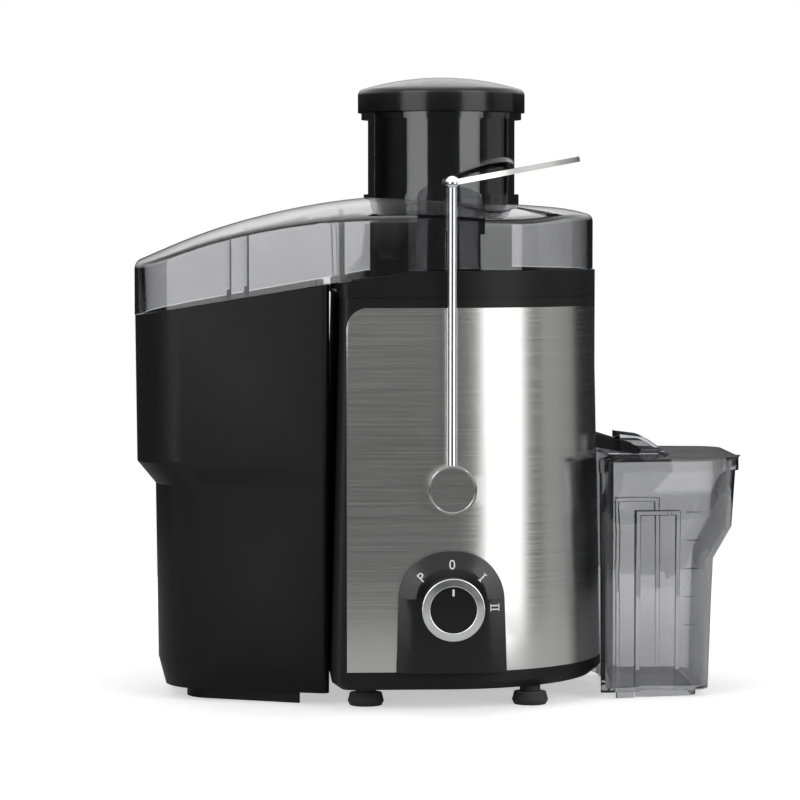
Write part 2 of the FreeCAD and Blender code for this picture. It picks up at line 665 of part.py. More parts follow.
def make_lid():
    """Smoke-clear lid: crowned shell, feed chute with flange and collar, locking lugs, inner ribs."""
    outer = lid_block(0)
    roof = max(outer.Faces, key=lambda face: face.CenterOfMass.z)
    outer = outer.makeFillet(num("lid_fillet"), roof.Edges)
    lid = outer.cut(lid_block(num("lid_wall")))
    rib = num("lid_wall")
    for reach in (num("rib_root"), num("rib_near"), num("rib_far")):
        slice_ = outer.common(cuboid(-reach - rib / 2, rib / 2 - reach, -FAR, FAR, 0, FAR))
        lid = lid.fuse(slice_.cut(cuboid(-FAR, FAR, -num("tongue_half"), num("tongue_half"), 0, FAR)))
    lid = lid.cut(below_seam(num("seam_gap")))
    chute = barrel(num("chute_radius"), num("collar_bottom"), num("chute_top"))
    chute = chute.fuse(barrel(num("chute_neck"), num("chute_bottom"), num("collar_bottom")))
    chute = chute.fuse(barrel(num("collar_radius"), num("collar_bottom"), num("collar_top")))
    rim = num("chute_top") - num("chute_flange_thick")
    chute = chute.fuse(barrel(num("chute_flange"), rim, num("chute_top")))
    half, front = num("lug_half"), num("lug_front")
    lug = slab([(-half, num("lug_bottom"), 0), (half, num("lug_bottom"), 0),
                (half, num("lug_top"), num("lug_shoulder")), (-half, num("lug_top"), num("lug_corner"))],
               -front, num("lug_depth") - front)
    lid = lid.fuse([chute, lug, mirrored(lug)])
    return lid.cut(barrel(num("chute_bore"), 0, FAR)).removeSplitter()


def bin_plan(z, left, narrower, inset):
    """Plan of the pulp bin: flat beside the housing, rounded at its far end, in line with the tongue."""
    right = num("body_left_foot") + num("bin_gap") + inset
    share = (num("body_left_foot") - num("tongue_start")) / (num("tongue_left") - num("tongue_start"))
    wide = num("lid_radius") + share * (num("tongue_half") - num("lid_radius")) - narrower - inset
    slim = num("tongue_half") - narrower - inset
    corner = num("tongue_corner") - inset
    small = max(num("bin_corner") - inset, CUT_THROUGH)
    return outline([(-right, -wide, small), (-right, wide, small), (-left + inset, slim, corner),
                    (-left + inset, -slim, corner)], z)


def bin_block(inset):
    low, slope, draft = num("bin_bottom") + inset, num("bin_chamfer"), num("bin_draft")
    narrow, wide = num("bin_left_low"), num("tongue_left")
    return loft(bin_plan(low, narrow - slope / 2, draft + slope / 2, inset),
                bin_plan(low + 2 * slope, narrow, draft, inset),
                bin_plan(num("bin_step_low"), narrow + 1, draft / 3, inset),
                bin_plan(num("bin_step_high"), wide - 1, draft / 5, inset),
                bin_plan(num("body_top") + num("bin_bottom") + slope, wide, 0, inset))


def make_bin():
    """Black pulp bin with a stepped far wall, a foot rim and an open top under the lid's tongue."""
    solid = bin_block(0)
    rim, wall = num("bin_foot_rim"), num("bin_wall")
    left, draft = num("bin_left_low"), num("bin_draft")
    foot = Part.Face(bin_plan(0, left, draft, rim)).extrude(Vector(0, 0, num("bin_bottom")))
    hollow = Part.Face(bin_plan(0, left, draft, rim + wall)).extrude(Vector(0, 0, num("bin_bottom")))
    solid = solid.fuse(foot.cut(hollow)).cut(bin_block(wall))
    return solid.common(below_seam(0)).cut(pulp_window())


def jug_plan(z, far, taper, inset):
    near, corner = num("jug_near") + inset, num("jug_corner") - inset
    wide, slim = num("jug_half_near") - taper - inset, num("jug_half_far") - taper - inset
    return outline([(near, -wide, corner / 2), (far - inset, -slim, corner), (far - inset, slim, corner),
                    (near, wide, corner / 2)], z)


def hollow_side(inset):
    """The round of the housing that the jug's near wall follows."""
    radius = num("jug_hollow") + inset
    centre = Vector(num("jug_hollow_reach") - num("jug_hollow"), 0, -CUT_THROUGH)
    return Part.makeCylinder(radius, FAR, centre)


def jug_block(inset, floor, rim):
    taper = num("jug_taper")
    low, high = num("jug_far_low"), num("jug_far")
    return loft(jug_plan(floor, low, taper, inset), jug_plan(num("jug_step_low"), low + 2, taper / 2, inset),
                jug_plan(num("jug_step_high"), high - 2, taper / 4, inset), jug_plan(rim, high, 0, inset))


def grip_grooves(grow):
    """Upright finger grooves in the jug's front and back."""
    near, far = num("grip_near") - grow, num("grip_near") + num("grip_width") + grow
    groove = cuboid(near, far, -FAR, grow - num("grip_floor"), -CUT_THROUGH, num("grip_top") + grow)
    return [groove, mirrored(groove)]


def pouring_lip(inset):
    """A beak at the far side of the rim that runs out to nothing below."""
    rim, root = num("jug_rim"), num("jug_far") - num("jug_corner")
    tip, half = num("lip_reach") - 1.5 * inset, num("lip_half") - inset
    top = Part.makePolygon([Vector(root, -half, rim), Vector(tip, 0, rim), Vector(root, half, rim),
                            Vector(root, -half, rim)])
    low = rim - num("lip_depth")
    end = num("jug_far") - 2 * num("jug_wall")
    foot = Part.makePolygon([Vector(root, -half / 2, low), Vector(end, 0, low), Vector(root, half / 2, low),
                             Vector(root, -half / 2, low)])
    return loft(foot, top)


def make_jug():
    """Smoke-clear juice jug: hollow near wall, stepped far wall, grip grooves, rim band, pouring lip."""
    floor, rim, wall = num("jug_bottom"), num("jug_rim"), num("jug_wall")
    band = num("jug_band_out")
    jug = jug_block(0, floor, rim).cut(grip_grooves(0))
    jug = jug.fuse(loft(jug_plan(rim - num("jug_band"), num("jug_far"), 0, -band),
                        jug_plan(rim, num("jug_far"), 0, -band)))
    jug = jug.fuse(pouring_lip(0)).cut(hollow_side(0))
    inside = jug_block(wall, floor + wall, rim).cut(grip_grooves(wall)).cut(hollow_side(wall))
    foot = 3 * wall
    low = num("jug_far_low")
    ring = Part.Face(jug_plan(0, low, num("jug_taper"), foot)).extrude(Vector(0, 0, floor))
    ring = ring.cut(Part.Face(jug_plan(0, low, num("jug_taper"), foot + wall)).extrude(Vector(0, 0, floor)))
    ring = ring.cut(grip_grooves(wall)).cut(hollow_side(foot))
    return jug.cut(inside).cut(pouring_lip(wall)).fuse(ring).removeSplitter()


def make_jug_lid():
    """Smoke-clear plate on the jug's rim, slotted under the spout, with a small sloping hood."""
    low, thick = num("jug_rim"), num("jug_lid_thick")
    band, slot = num("jug_band_out"), num("jug_lid_slot")
    near, far = num("hood_near"), num("hood_far")
    high = low + thick + num("hood_height")
    plate = Part.Face(jug_plan(low, num("jug_far"), 0, -band)).extrude(Vector(0, 0, thick))
    plate = plate.cut(hollow_side(0))
    knee = (near + far) / 2
    outer = slot + thick
    hood = slab([(near, low + thick, 0), (far, low + thick, 0), (knee, high - thick, 8), (near, high, 0)],
                -outer, outer)
    room = slab([(0, 0, 0), (far - 1.5 * thick, 0, 0), (far - 1.5 * thick, low + thick, 0),
                 (knee - thick / 2, high - 2 * thick, 8), (0, high - thick, 0)], -slot, slot)
    return plate.fuse(hood).cut(room).removeSplitter()


def make_handle():
    """Bright crescent strip that bends round the chute from one rod's end to the other's."""
    reach, thick = num("handle_reach"), num("handle_thick")
    out = num("rod_reach") + num("handle_end_width") / 2
    inn = out - num("handle_end_width")
    tip = reach - num("handle_tip_width")
    ends = [Vector(0, -out, 0), Vector(0, out, 0), Vector(0, inn, 0), Vector(0, -inn, 0)]
    edges = [Part.Arc(ends[0], Vector(reach, 0, 0), ends[1]).toShape(),
             Part.LineSegment(ends[1], ends[2]).toShape(),
             Part.Arc(ends[2], Vector(tip, 0, 0), ends[3]).toShape(),
             Part.LineSegment(ends[3], ends[0]).toShape()]
    strip = Part.Face(Part.Wire(edges)).extrude(Vector(0, 0, thick))
    strip.translate(Vector(0, 0, num("ball_height") - thick / 2))
    strip.rotate(Vector(0, 0, num("ball_height")), Vector(0, 1, 0), -num("handle_tilt"))
    for side in (-1, 1):
        spot = Vector(0, side * num("rod_reach"), num("ball_height"))
        strip = strip.cut(Part.makeSphere(num("ball_radius"), spot))
    return strip


def make_arm_rod(side):
    """Upright bright rod from a pivot hub to a ball under the handle's end."""
    foot = num("pivot_height") + num("pivot_pin")
    spot = Vector(0, side * num("rod_reach"), foot)
    upright = Part.makeCylinder(num("rod_radius"), num("ball_height") - foot, spot)
    ball = Part.makeSphere(num("ball_radius"), Vector(0, side * num("rod_reach"), num("ball_height")))
    return upright.fuse(ball)


def make_dial_plate():
    """Black arched plate with a sloping edge, which plugs the housing's front."""
    front, back, bevel = num("dial_front"), num("dial_back"), num("dial_bevel")
    plate = dial_arch(0, -front + bevel, -back)
    wide = dial_arch(0, -front + bevel, -front + bevel + CUT_THROUGH).Faces
    slim = dial_arch(0, -front, -front + CUT_THROUGH, num("dial_slope")).Faces
    wires = [min(faces, key=lambda f: f.CenterOfMass.y).OuterWire for faces in (wide, slim)]
    lift = num("body_bottom") + num("panel_gap")
    plate = plate.fuse(loft(*wires)).cut(cuboid(-FAR, FAR, -FAR, FAR, 0, lift))
    bore = num("spindle_radius") + num("running_fit")
    return plate.cut(cross_rod(bore, 0, -FAR, 0, num("knob_height"))).removeSplitter()


def make_cap():
    """Black domed pusher cap."""
    radius, low = num("cap_radius"), num("cap_bottom")
    shoulder, top = num("cap_shoulder"), num("cap_top")
    rise = top - shoulder
    ball = (radius * radius + rise * rise) / (2 * rise)
    halfway = top - ball + math.sqrt(ball * ball - radius * radius / 4)
    corners = [Vector(0, 0, top), Vector(0, 0, low), Vector(radius, 0, low), Vector(radius, 0, shoulder)]
    edges = [Part.LineSegment(corners[n], corners[n + 1]).toShape() for n in range(3)]
    edges.append(Part.Arc(corners[3], Vector(radius / 2, 0, halfway), corners[0]).toShape())
    cap = Part.Face(Part.Wire(edges)).revolve(Vector(), Vector(0, 0, 1), 360)
    brim = [e for e in cap.Edges if abs(e.CenterOfMass.z - shoulder) < 0.01 and abs(e.CenterOfMass.x) < 0.01]
    return cap.makeFillet(rise / 2, brim)


def around(shape, count):
    """The shape repeated in a full turn about the motor axis."""
    copies = []
    for n in range(count):
        one = shape.copy()
        one.rotate(Vector(), Vector(0, 0, 1), 360.0 * n / count)
        copies.append(one)
    return copies


FAN_LOW = num("shaft_bottom") + CUT_THROUGH


def make_fan():
    """Plastic cooling fan: a hub, a back disc and straight blades."""
    low, high = FAN_LOW, FAN_LOW + num("fan_height")
    blade = num("fan_blade")
    paddle = cuboid(num("fan_hub") - blade, num("fan_radius"), -blade / 2, blade / 2, low, high - blade)
    fan = barrel(num("fan_hub"), low, high).fuse(barrel(num("fan_radius"), high - blade, high))
    fan = fan.fuse(around(paddle, int(num("fan_blades"))))
    return fan.cut(barrel(num("shaft_radius"), 0, FAR)).removeSplitter()


def make_strainer():
    """Steel strainer: a slotted cone on a floor, with a skirt round the bowl's chimney."""
    low, top, skin = num("basket_floor"), num("basket_top"), num("basket_skin")
    foot, rim = num("basket_low_radius"), num("basket_top_radius")
    bore = num("coupling_radius") - num("coupling_lug")
    cone = Part.makeCone(foot, rim, top - low, Vector(0, 0, low))
    cone = cone.cut(Part.makeCone(foot - skin, rim - skin, top - low, Vector(0, 0, low + skin)))
    sleeve = num("chimney_radius") + 2 * num("bowl_wall")
    skirt_low = num("bowl_bottom") + 2 * num("bowl_floor")
    skirt = barrel(sleeve, skirt_low, low).cut(barrel(sleeve - skin, skirt_low, low))
    slot = num("basket_slot_width")
    edge = num("rim_height") * 2
    hole = cuboid(foot - 4 * skin, rim + skin, -slot / 2, slot / 2, low + edge, top - edge / 2)
    return cone.cut(barrel(bore, 0, FAR)).fuse(skirt).cut(around(hole, int(num("basket_slots"))))


def make_grater():
    """Steel grater disc with rings of raised teeth."""
    low, thick = num("coupling_high"), num("grater_thick")
    disc = barrel(num("grater_radius"), low, low + thick)
    base, height, rows = num("tooth_base"), num("tooth_height"), int(num("tooth_rows"))
    teeth = []
    for ring in range(1, rows + 1):
        reach = num("grater_radius") * ring / (rows + 0.7)
        tooth = Part.makeCone(base, base / 4, height, Vector(reach, 0, low + thick))
        teeth += around(tooth, 4 + 3 * ring)
    return disc.fuse(teeth)


def make_coupling():
    """Drive coupling on the shaft: a shoulder that carries the basket, and a lugged head inside it."""
    low, seat, high = num("coupling_low"), num("basket_floor"), num("coupling_high")
    lug = num("coupling_lug")
    head = num("coupling_radius") - lug
    piece = barrel(num("coupling_radius"), low, seat).fuse(barrel(head, seat, high))
    return piece.cut(barrel(num("shaft_radius"), 0, num("shaft_top")))


BOLTS = [(x * num("bolt_reach"), y * num("bolt_reach")) for x in (-1, 1) for y in (-1, 1)]
BOLT_HOLE = num("bolt_radius") + num("bolt_play")


def square_plate(z0, z1):
    half, corner = num("stator_side") / 2, num("stator_corner")
    plan = outline([(half, -half, corner), (half, half, corner), (-half, half, corner),
                    (-half, -half, corner)], z0)
    return Part.Face(plan).extrude(Vector(0, 0, z1 - z0))


def drilled(shape):
    """The shape with the four holes of the motor bolts."""
    return shape.cut([Part.makeCylinder(BOLT_HOLE, FAR, Vector(x, y, 0)) for x, y in BOLTS])


def make_bracket(low, leg_end):
    """Motor end bracket with a bearing seat and four legs to the stator."""
    high = low + num("bracket_thick")
    plate = square_plate(low, high)
    start, end = (high, leg_end) if leg_end > low else (leg_end, low)
    legs = [Part.makeCylinder(num("leg_radius"), end - start, Vector(x, y, start)) for x, y in BOLTS]
    return drilled(plate.fuse(legs).cut(barrel(num("bearing_radius"), 0, FAR)))


BRUSH_HEIGHT = (num("commutator_low") + num("commutator_high")) / 2
BRUSH_START = num("commutator_radius") + num("brush_gap")
HOLDER_HALF = num("brush_side") / 2 + num("holder_wall")


def brush_block(half, start, end):
    bar = cuboid(start, end, -half, half, BRUSH_HEIGHT - half, BRUSH_HEIGHT + half)
    return [bar, bar.mirror(Vector(), Vector(1, 0, 0))]


def make_lower_bracket():
    """Lower bracket with posts under the brush holders."""
    low = num("lower_bracket")
    bracket = make_bracket(low, num("core_low"))
    post = cuboid(BRUSH_START + HOLDER_HALF, BRUSH_START + 3 * HOLDER_HALF, -HOLDER_HALF, HOLDER_HALF,
                  low, BRUSH_HEIGHT - HOLDER_HALF)
    return bracket.fuse([post, post.mirror(Vector(), Vector(1, 0, 0))])


def make_stator():
    """Square stack of laminations with the bore and the slots of the field coils."""
    stack = square_plate(num("core_low"), num("core_high"))
    stack = stack.cut(barrel(num("core_radius") + num("air_gap"), 0, FAR))
    return drilled(stack.cut(coil_bars(num("bolt_play"), 0, FAR)))


def coil_bars(grow, z0, z1):
    near, far = num("coil_inner") - grow, num("coil_inner") + num("coil_thick") + grow
    half = num("coil_half") + grow
    bar = cuboid(near, far, -half, half, z0, z1)
    return [bar, bar.mirror(Vector(), Vector(1, 0, 0))]


def make_bolts():
    """Four long bolts that hold brackets and stator together."""
    low, high = num("lower_bracket"), num("upper_bracket") + num("bracket_thick")
    bolts = []
    thick = num("bolt_radius")
    for x, y in BOLTS:
        shank = Part.makeCylinder(thick, high - low, Vector(x, y, low))
        head = Part.makeCylinder(2 * thick, thick, Vector(x, y, low - thick))
        bolts.append(shank.fuse(head).removeSplitter())
    return Part.makeCompound(bolts)


def make_screws():
    """Four base screws with sunk heads."""
    screws = []
    low = num("base_bottom")
    for x, y in boss_spots():
        shank = Part.makeCylinder(num("screw_radius"), num("boss_height"), Vector(x, y, low))
        head = Part.makeCylinder(num("screw_head"), num("screw_head_height"), Vector(x, y, low))
        screws.append(shank.fuse(head).removeSplitter())
    return Part.makeCompound(screws)


FREE_SHAPES = [
    ("motor_housing", make_housing()),
    ("steel_panel", make_panel()),
    ("base_plate", make_base()),
    ("base_screws", make_screws()),
    ("dial_plate", make_dial_plate()),
    ("juice_bowl", make_bowl()),
    ("lid", make_lid()),
    ("pulp_bin", make_bin()),
    ("juice_jug", make_jug()),
    ("jug_lid", make_jug_lid()),
    ("arm_handle", make_handle()),
    ("arm_rod_front", make_arm_rod(-1)),
    ("arm_rod_rear", make_arm_rod(1)),
    ("pusher_cap", make_cap()),
    ("cooling_fan", make_fan()),
    ("strainer_basket", make_strainer()),
    ("grater_disc", make_grater()),
    ("drive_coupling", make_coupling()),
    ("motor_stator", make_stator()),
    ("field_coils", Part.makeCompound(coil_bars(0, num("core_low") - num("coil_overhang"),
                                                num("core_high") + num("coil_overhang")))),
    ("upper_bracket", make_bracket(num("upper_bracket"), num("core_high"))),
    ("lower_bracket", make_lower_bracket()),
    ("motor_bolts", make_bolts()),
    ("carbon_brushes", Part.makeCompound(brush_block(num("brush_side") / 2, BRUSH_START,
                                                     BRUSH_START + num("brush_length")))),
    ("brush_holders", Part.makeCompound([
        sleeve.cut(core) for sleeve, core in zip(
            brush_block(HOLDER_HALF, BRUSH_START + num("holder_wall"), BRUSH_START + num("brush_length")),
            brush_block(num("brush_side") / 2, BRUSH_START, BRUSH_START + num("brush_length")))])),
]
for label, shape in FREE_SHAPES:
    node(shaped("".join(word.title() for word in label.split("_")), shape), label)

# Turned and bound pieces of the rotor.
shaft_length = dim.shaft_top - dim.shaft_bottom
node(rod("MotorShaft", dim.shaft_radius, shaft_length, z=dim.shaft_bottom), "motor_shaft")
core_height = dim.core_high - dim.core_low
node(tube("ArmatureCore", dim.core_radius, dim.shaft_radius, core_height, z=dim.core_low), "armature_core")
node(group("ArmatureWindings",
           tube("WindingLow", dim.winding_radius, dim.shaft_radius, dim.winding_height,
                z=dim.core_low - dim.winding_height),
           tube("WindingHigh", dim.winding_radius, dim.shaft_radius, dim.winding_height, z=dim.core_high)),
     "armature_windings")
node(tube("Commutator", dim.commutator_radius, dim.shaft_radius, dim.commutator_high - dim.commutator_low,
          z=dim.commutator_low), "commutator")
ring_inner = dim.basket_top_radius - dim.basket_skin
node(tube("BasketRim", dim.rim_radius, ring_inner, dim.rim_height, z=dim.basket_top), "basket_rim")

# Bearings, seal and mounts of the motor.
bearing_bore = dim.shaft_radius + dim.bearing_play
node(tube("LowerBearing", dim.bearing_radius, bearing_bore, dim.bearing_height, z=dim.lower_bracket),
     "lower_bearing")
node(tube("UpperBearing", dim.bearing_radius, bearing_bore, dim.bearing_height,
          z=dim.upper_bracket + dim.bracket_thick - dim.bearing_height), "upper_bearing")
node(tube("ShaftSeal", dim.deck_bore, dim.shaft_radius + dim.running_fit, dim.deck_thick,
          z=dim.deck_top - dim.deck_thick), "shaft_seal")
mount_low = dim.upper_bracket + dim.bracket_thick
corners = [(-1, -1), (-1, 1), (1, -1), (1, 1)]
mounts = [rod("Mount%d" % n, dim.mount_radius, dim.mount_height, dim.bolt_reach * x, dim.bolt_reach * y,
              mount_low) for n, (x, y) in enumerate(corners)]
node(group("MotorMounts", *mounts), "motor_mounts")

# Feet: a soft cup with a neck in the base plate's underside.
cup_edge = dim.foot_radius - dim.foot_neck / 5
for n, (side, depth) in enumerate([(-1, -1), (1, -1), (-1, 1), (1, 1)], start=1):
    foot = turned("Foot%d" % n, (0, 0), (cup_edge, 0), (dim.foot_radius, dim.foot_height / 3),
                  (dim.foot_radius - 1, dim.foot_height), (dim.foot_neck, dim.foot_height),
                  (dim.foot_neck, dim.base_bottom), (0, dim.base_bottom))
    place(foot, dim.foot_reach_x * side, dim.foot_reach_y * depth)
    node(foot, "suction_foot_%d" % n)

# Pusher tube.
pusher_outer = dim.chute_bore - dim.pusher_gap
pusher_inner = pusher_outer - dim.pusher_wall
node(turned("PusherTube", (0, dim.pusher_bottom), (pusher_outer, dim.pusher_bottom),
            (pusher_outer, dim.cap_bottom), (pusher_inner, dim.cap_bottom),
            (pusher_inner, dim.pusher_bottom + dim.pusher_wall), (0, dim.pusher_bottom + dim.pusher_wall)),
     "pusher_tube")

# Dial: spindle, black knob and its bright ring, all turning about one line along Y.
knob_back = -(dim.dial_front + dim.knob_gap)
switch_back = dim.dial_back - dim.switch_depth
spindle_end = dim.dial_front + dim.knob_gap + dim.knob_depth / 2
spindle_start = switch_back + dim.switch_depth / 2
node(rod("SwitchSpindle", dim.spindle_radius, spindle_end - spindle_start, y=-spindle_start,
         z=dim.knob_height, rotation=TURN_TO_FRONT), "switch_spindle")
knob = rod("KnobSolid", dim.knob_face, dim.knob_depth - dim.knob_recess, y=knob_back, z=dim.knob_height,
           rotation=TURN_TO_FRONT)
knob_bore = rod("KnobBore", dim.spindle_radius, dim.knob_depth / 2, y=knob_back, z=dim.knob_height,
                rotation=TURN_TO_FRONT)
node(minus("DialKnob", knob, knob_bore), "dial_knob")
node(tube("DialRing", dim.knob_radius, dim.knob_face, dim.knob_depth, y=knob_back, z=dim.knob_height,
          rotation=TURN_TO_FRONT), "dial_ring")
switch_box = block("SwitchBox", dim.switch_width, dim.switch_depth, dim.switch_width, -dim.switch_width / 2,
                   -dim.dial_back, dim.knob_height - dim.switch_width / 2)
switch_bore = rod("SwitchBore", dim.spindle_radius + dim.running_fit, dim.switch_depth,
                  y=dim.knob_gap - spindle_start, z=dim.knob_height, rotation=TURN_TO_FRONT)
node(minus("RotarySwitch", switch_box, switch_bore), "rotary_switch")

# Arm pivots: hubs with pins on the arm, bushes in the housing.
hub_inside = dim.pivot_face + dim.hub_gap
hub_outside = dim.rod_reach + dim.hub_thick / 2
bush_outer = dim.pivot_pin + dim.running_fit + dim.bush_wall
pin_end = dim.pivot_face - dim.bush_length
for side, end in ((-1, "Front"), (1, "Rear")):
    hub_start = hub_outside if side > 0 else -hub_inside
    pin_start = hub_inside if side > 0 else -pin_end
    bush_start = dim.pivot_face if side > 0 else -pin_end
    disc = rod("HubDisc" + end, dim.hub_radius, hub_outside - hub_inside, y=hub_start, z=dim.pivot_height,
               rotation=TURN_TO_FRONT)
    pin = rod("HubPin" + end, dim.pivot_pin, hub_inside - pin_end, y=pin_start, z=dim.pivot_height,
              rotation=TURN_TO_FRONT)
    socket = rod("HubSocket" + end, dim.rod_radius, dim.hub_radius, y=dim.rod_reach * side,
                 z=dim.pivot_height + dim.pivot_pin)
    node(minus("PivotHub" + end, joined("HubWithPin" + end, disc, pin), socket), "pivot_hub_" + end.lower())
    node(tube("ArmBush" + end, bush_outer, dim.pivot_pin + dim.running_fit, dim.bush_length, y=bush_start,
              z=dim.pivot_height, rotation=TURN_TO_FRONT), "arm_bush_" + end.lower())

# Safety switch under the deck and the cord gland at the rear.
node(block("SafetySwitch", dim.switch_width, dim.switch_depth / 2, dim.switch_depth / 2, dim.hub_radius,
           dim.switch_gap - pin_end, dim.deck_top - dim.deck_thick - dim.switch_depth / 2), "safety_switch")
node(tube("CordGland", dim.gland_radius, dim.gland_bore, dim.bush_length, -dim.gland_x,
          dim.body_foot_radius + dim.bush_wall, dim.gland_z, TURN_TO_FRONT), "cord_gland")

doc.recompute()
for obj in doc.Objects:
    if "Invalid" in obj.State or "Error" in obj.State:
        raise RuntimeError("%s failed: %s" % (obj.Name, obj.State))
for obj in nodes:
    if obj.Shape.isNull() or not obj.Shape.isValid():
        raise RuntimeError("%s has no valid shape" % obj.Label)

os.makedirs("parts", exist_ok=True)
for obj in nodes:
    obj.Shape.exportStep("parts/%s.step" % obj.Label)
    print("%-20s %d solids %10.1f mm3" % (obj.Label, len(obj.Shape.Solids), obj.Shape.Volume))
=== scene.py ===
"""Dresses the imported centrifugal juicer: finishes, dial marks, jug scale, studio and camera."""
import json
import math

import bmesh
import bpy
from mathutils import Matrix, Vector
from mathutils.bvhtree import BVHTree


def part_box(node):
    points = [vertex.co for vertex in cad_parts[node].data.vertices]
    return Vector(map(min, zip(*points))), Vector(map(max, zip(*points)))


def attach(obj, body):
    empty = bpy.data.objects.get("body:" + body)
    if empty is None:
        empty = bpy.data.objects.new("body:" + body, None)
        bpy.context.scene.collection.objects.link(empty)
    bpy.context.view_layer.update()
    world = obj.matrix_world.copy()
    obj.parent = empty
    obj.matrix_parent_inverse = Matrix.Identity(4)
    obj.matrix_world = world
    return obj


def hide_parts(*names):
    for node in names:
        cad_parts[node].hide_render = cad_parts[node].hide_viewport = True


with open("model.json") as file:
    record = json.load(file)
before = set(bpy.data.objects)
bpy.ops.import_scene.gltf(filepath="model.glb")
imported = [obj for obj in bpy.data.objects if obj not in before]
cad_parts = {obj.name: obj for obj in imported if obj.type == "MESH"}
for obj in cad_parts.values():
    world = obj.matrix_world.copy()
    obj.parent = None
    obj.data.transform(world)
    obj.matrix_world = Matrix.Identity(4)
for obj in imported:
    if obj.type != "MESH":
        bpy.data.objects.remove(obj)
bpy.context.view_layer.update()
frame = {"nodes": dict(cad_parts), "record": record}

bl_info = {
    "name": "Centrifugal Juicer",
    "version": (1, 0, 0),
    "blender": (4, 5, 0),
    "location": "View3D > Sidebar > Juicer",
    "description": "Finishes a centrifugal juicer and sets up its studio",
    "category": "Object",
}

MM = 0.001
NODES = frame["nodes"]
RECORD = frame["record"]
BODY_OF = {node: body for body, names in RECORD["behaviour"]["bodies"].items() for node in names}
SLOT_OF = {row["node"]: row["material_slot"] for row in RECORD["subparts"]}


class JuicerLooks(bpy.types.PropertyGroup):
    """Colours and small sizes of the juicer's finish."""

    satin_colour: bpy.props.StringProperty(
        name="Satin ABS", description="Housing, base and pulp bin, as sRGB hex", default="0F0F0F")
    gloss_colour: bpy.props.StringProperty(
        name="Gloss ABS", description="Pusher, bowl, dial plate and knob, as sRGB hex", default="09090A")
    steel_colour: bpy.props.StringProperty(
        name="Stainless", description="Brushed panel and hubs, as sRGB hex", default="C9C9C8")
    chrome_colour: bpy.props.StringProperty(
        name="Chrome", description="Arm rods, handle and dial ring, as sRGB hex", default="DCDCDD")
    smoke_colour: bpy.props.StringProperty(
        name="Smoke", description="Tint of one wall of lid and jug, as sRGB hex", default="C8C8CA")
    mark_colour: bpy.props.StringProperty(
        name="Marks", description="Printed dial marks, as sRGB hex", default="E8E8E8")
    edge_round: bpy.props.FloatProperty(
        name="Edge", description="Rounding of moulded edges", default=0.45 * MM, min=0.0,
        precision=5, subtype="DISTANCE", unit="LENGTH")
    grain_pitch: bpy.props.FloatProperty(
        name="Grain", description="Spacing of the brushed lines", default=0.7 * MM, min=0.0001,
        precision=5, subtype="DISTANCE", unit="LENGTH")
    mark_height: bpy.props.FloatProperty(
        name="Mark height", description="Height of the dial's figures", default=4.5 * MM, min=0.0,
        precision=5, subtype="DISTANCE", unit="LENGTH")
    mark_ring: bpy.props.FloatProperty(
        name="Mark ring", description="Knob centre to the dial's figures", default=20.4 * MM, min=0.0,
        precision=5, subtype="DISTANCE", unit="LENGTH")
    scale_steps: bpy.props.IntProperty(
        name="Scale steps", description="Number of lines in the jug's scale", default=5, min=1)


class JuicerStudio(bpy.types.PropertyGroup):
    """Camera and light."""

    swing: bpy.props.FloatProperty(
        name="Swing", description="Turn of the camera about the motor axis", default=math.radians(-3.0),
        subtype="ANGLE", unit="ROTATION")
    distance: bpy.props.FloatProperty(
        name="Distance", description="Camera to the motor axis", default=1.65, subtype="DISTANCE",
        unit="LENGTH")
    eye: bpy.props.FloatProperty(
        name="Eye", description="Height of the camera", default=0.235, subtype="DISTANCE", unit="LENGTH")
    aim_aside: bpy.props.FloatProperty(
        name="Aim aside", description="Point looked at, right of the motor axis", default=-0.0205,
        precision=4, subtype="DISTANCE", unit="LENGTH")
    aim_up: bpy.props.FloatProperty(
        name="Aim up", description="Height of the point looked at", default=0.145, precision=4,
        subtype="DISTANCE", unit="LENGTH")
    lens: bpy.props.FloatProperty(
        name="Lens", description="Focal length", default=148.7, min=1.0, subtype="DISTANCE_CAMERA")
    side_power: bpy.props.FloatProperty(
        name="Softboxes", description="Power of each side softbox", default=9.0, subtype="POWER",
        unit="POWER")
    top_power: bpy.props.FloatProperty(
        name="Top light", description="Power of the light overhead", default=6.0, subtype="POWER",
        unit="POWER")
    card_power: bpy.props.FloatProperty(
        name="Fill card", description="Power of the card beside the jug", default=1.0, subtype="POWER",
        unit="POWER")


def looks():
    """The juicer's finish, as the scene's settings give it."""
    return bpy.context.scene.juicer_looks


def linear(code):
    """An sRGB hex code as a linear colour."""
    parts = [int(code[n:n + 2], 16) / 255 for n in (0, 2, 4)]
    return tuple(c / 12.92 if c <= 0.04045 else ((c + 0.055) / 1.055) ** 2.4 for c in parts) + (1.0,)


def shade(colour, share):
    """A linear colour made darker or lighter."""
    return tuple(share * c for c in colour[:3]) + (1.0,)


def add(tree, kind, links=None, **settings):
    """Adds a node with its settings; links are inputs by name or number, given as values or sockets."""
    node = tree.nodes.new(kind)
    for name, value in settings.items():
        setattr(node, name, value)
    for name, value in (links or {}).items():
        if isinstance(value, bpy.types.NodeSocket):
            tree.links.new(value, node.inputs[name])
        else:
            node.inputs[name].default_value = value
    return node


# Sockets of the Mix node, several of which share a name.
MIX_BY = 0
NUMBER_A, NUMBER_B, NUMBER_OUT = 2, 3, 0
COLOUR_A, COLOUR_B, COLOUR_OUT = 6, 7, 2
# Most values of a noise texture lie between these.
NOISE_LOW, NOISE_HIGH = 0.3, 0.7
# Sets the finishes apart from the materials that come with the CAD nodes.
PREFIX = "finish_"
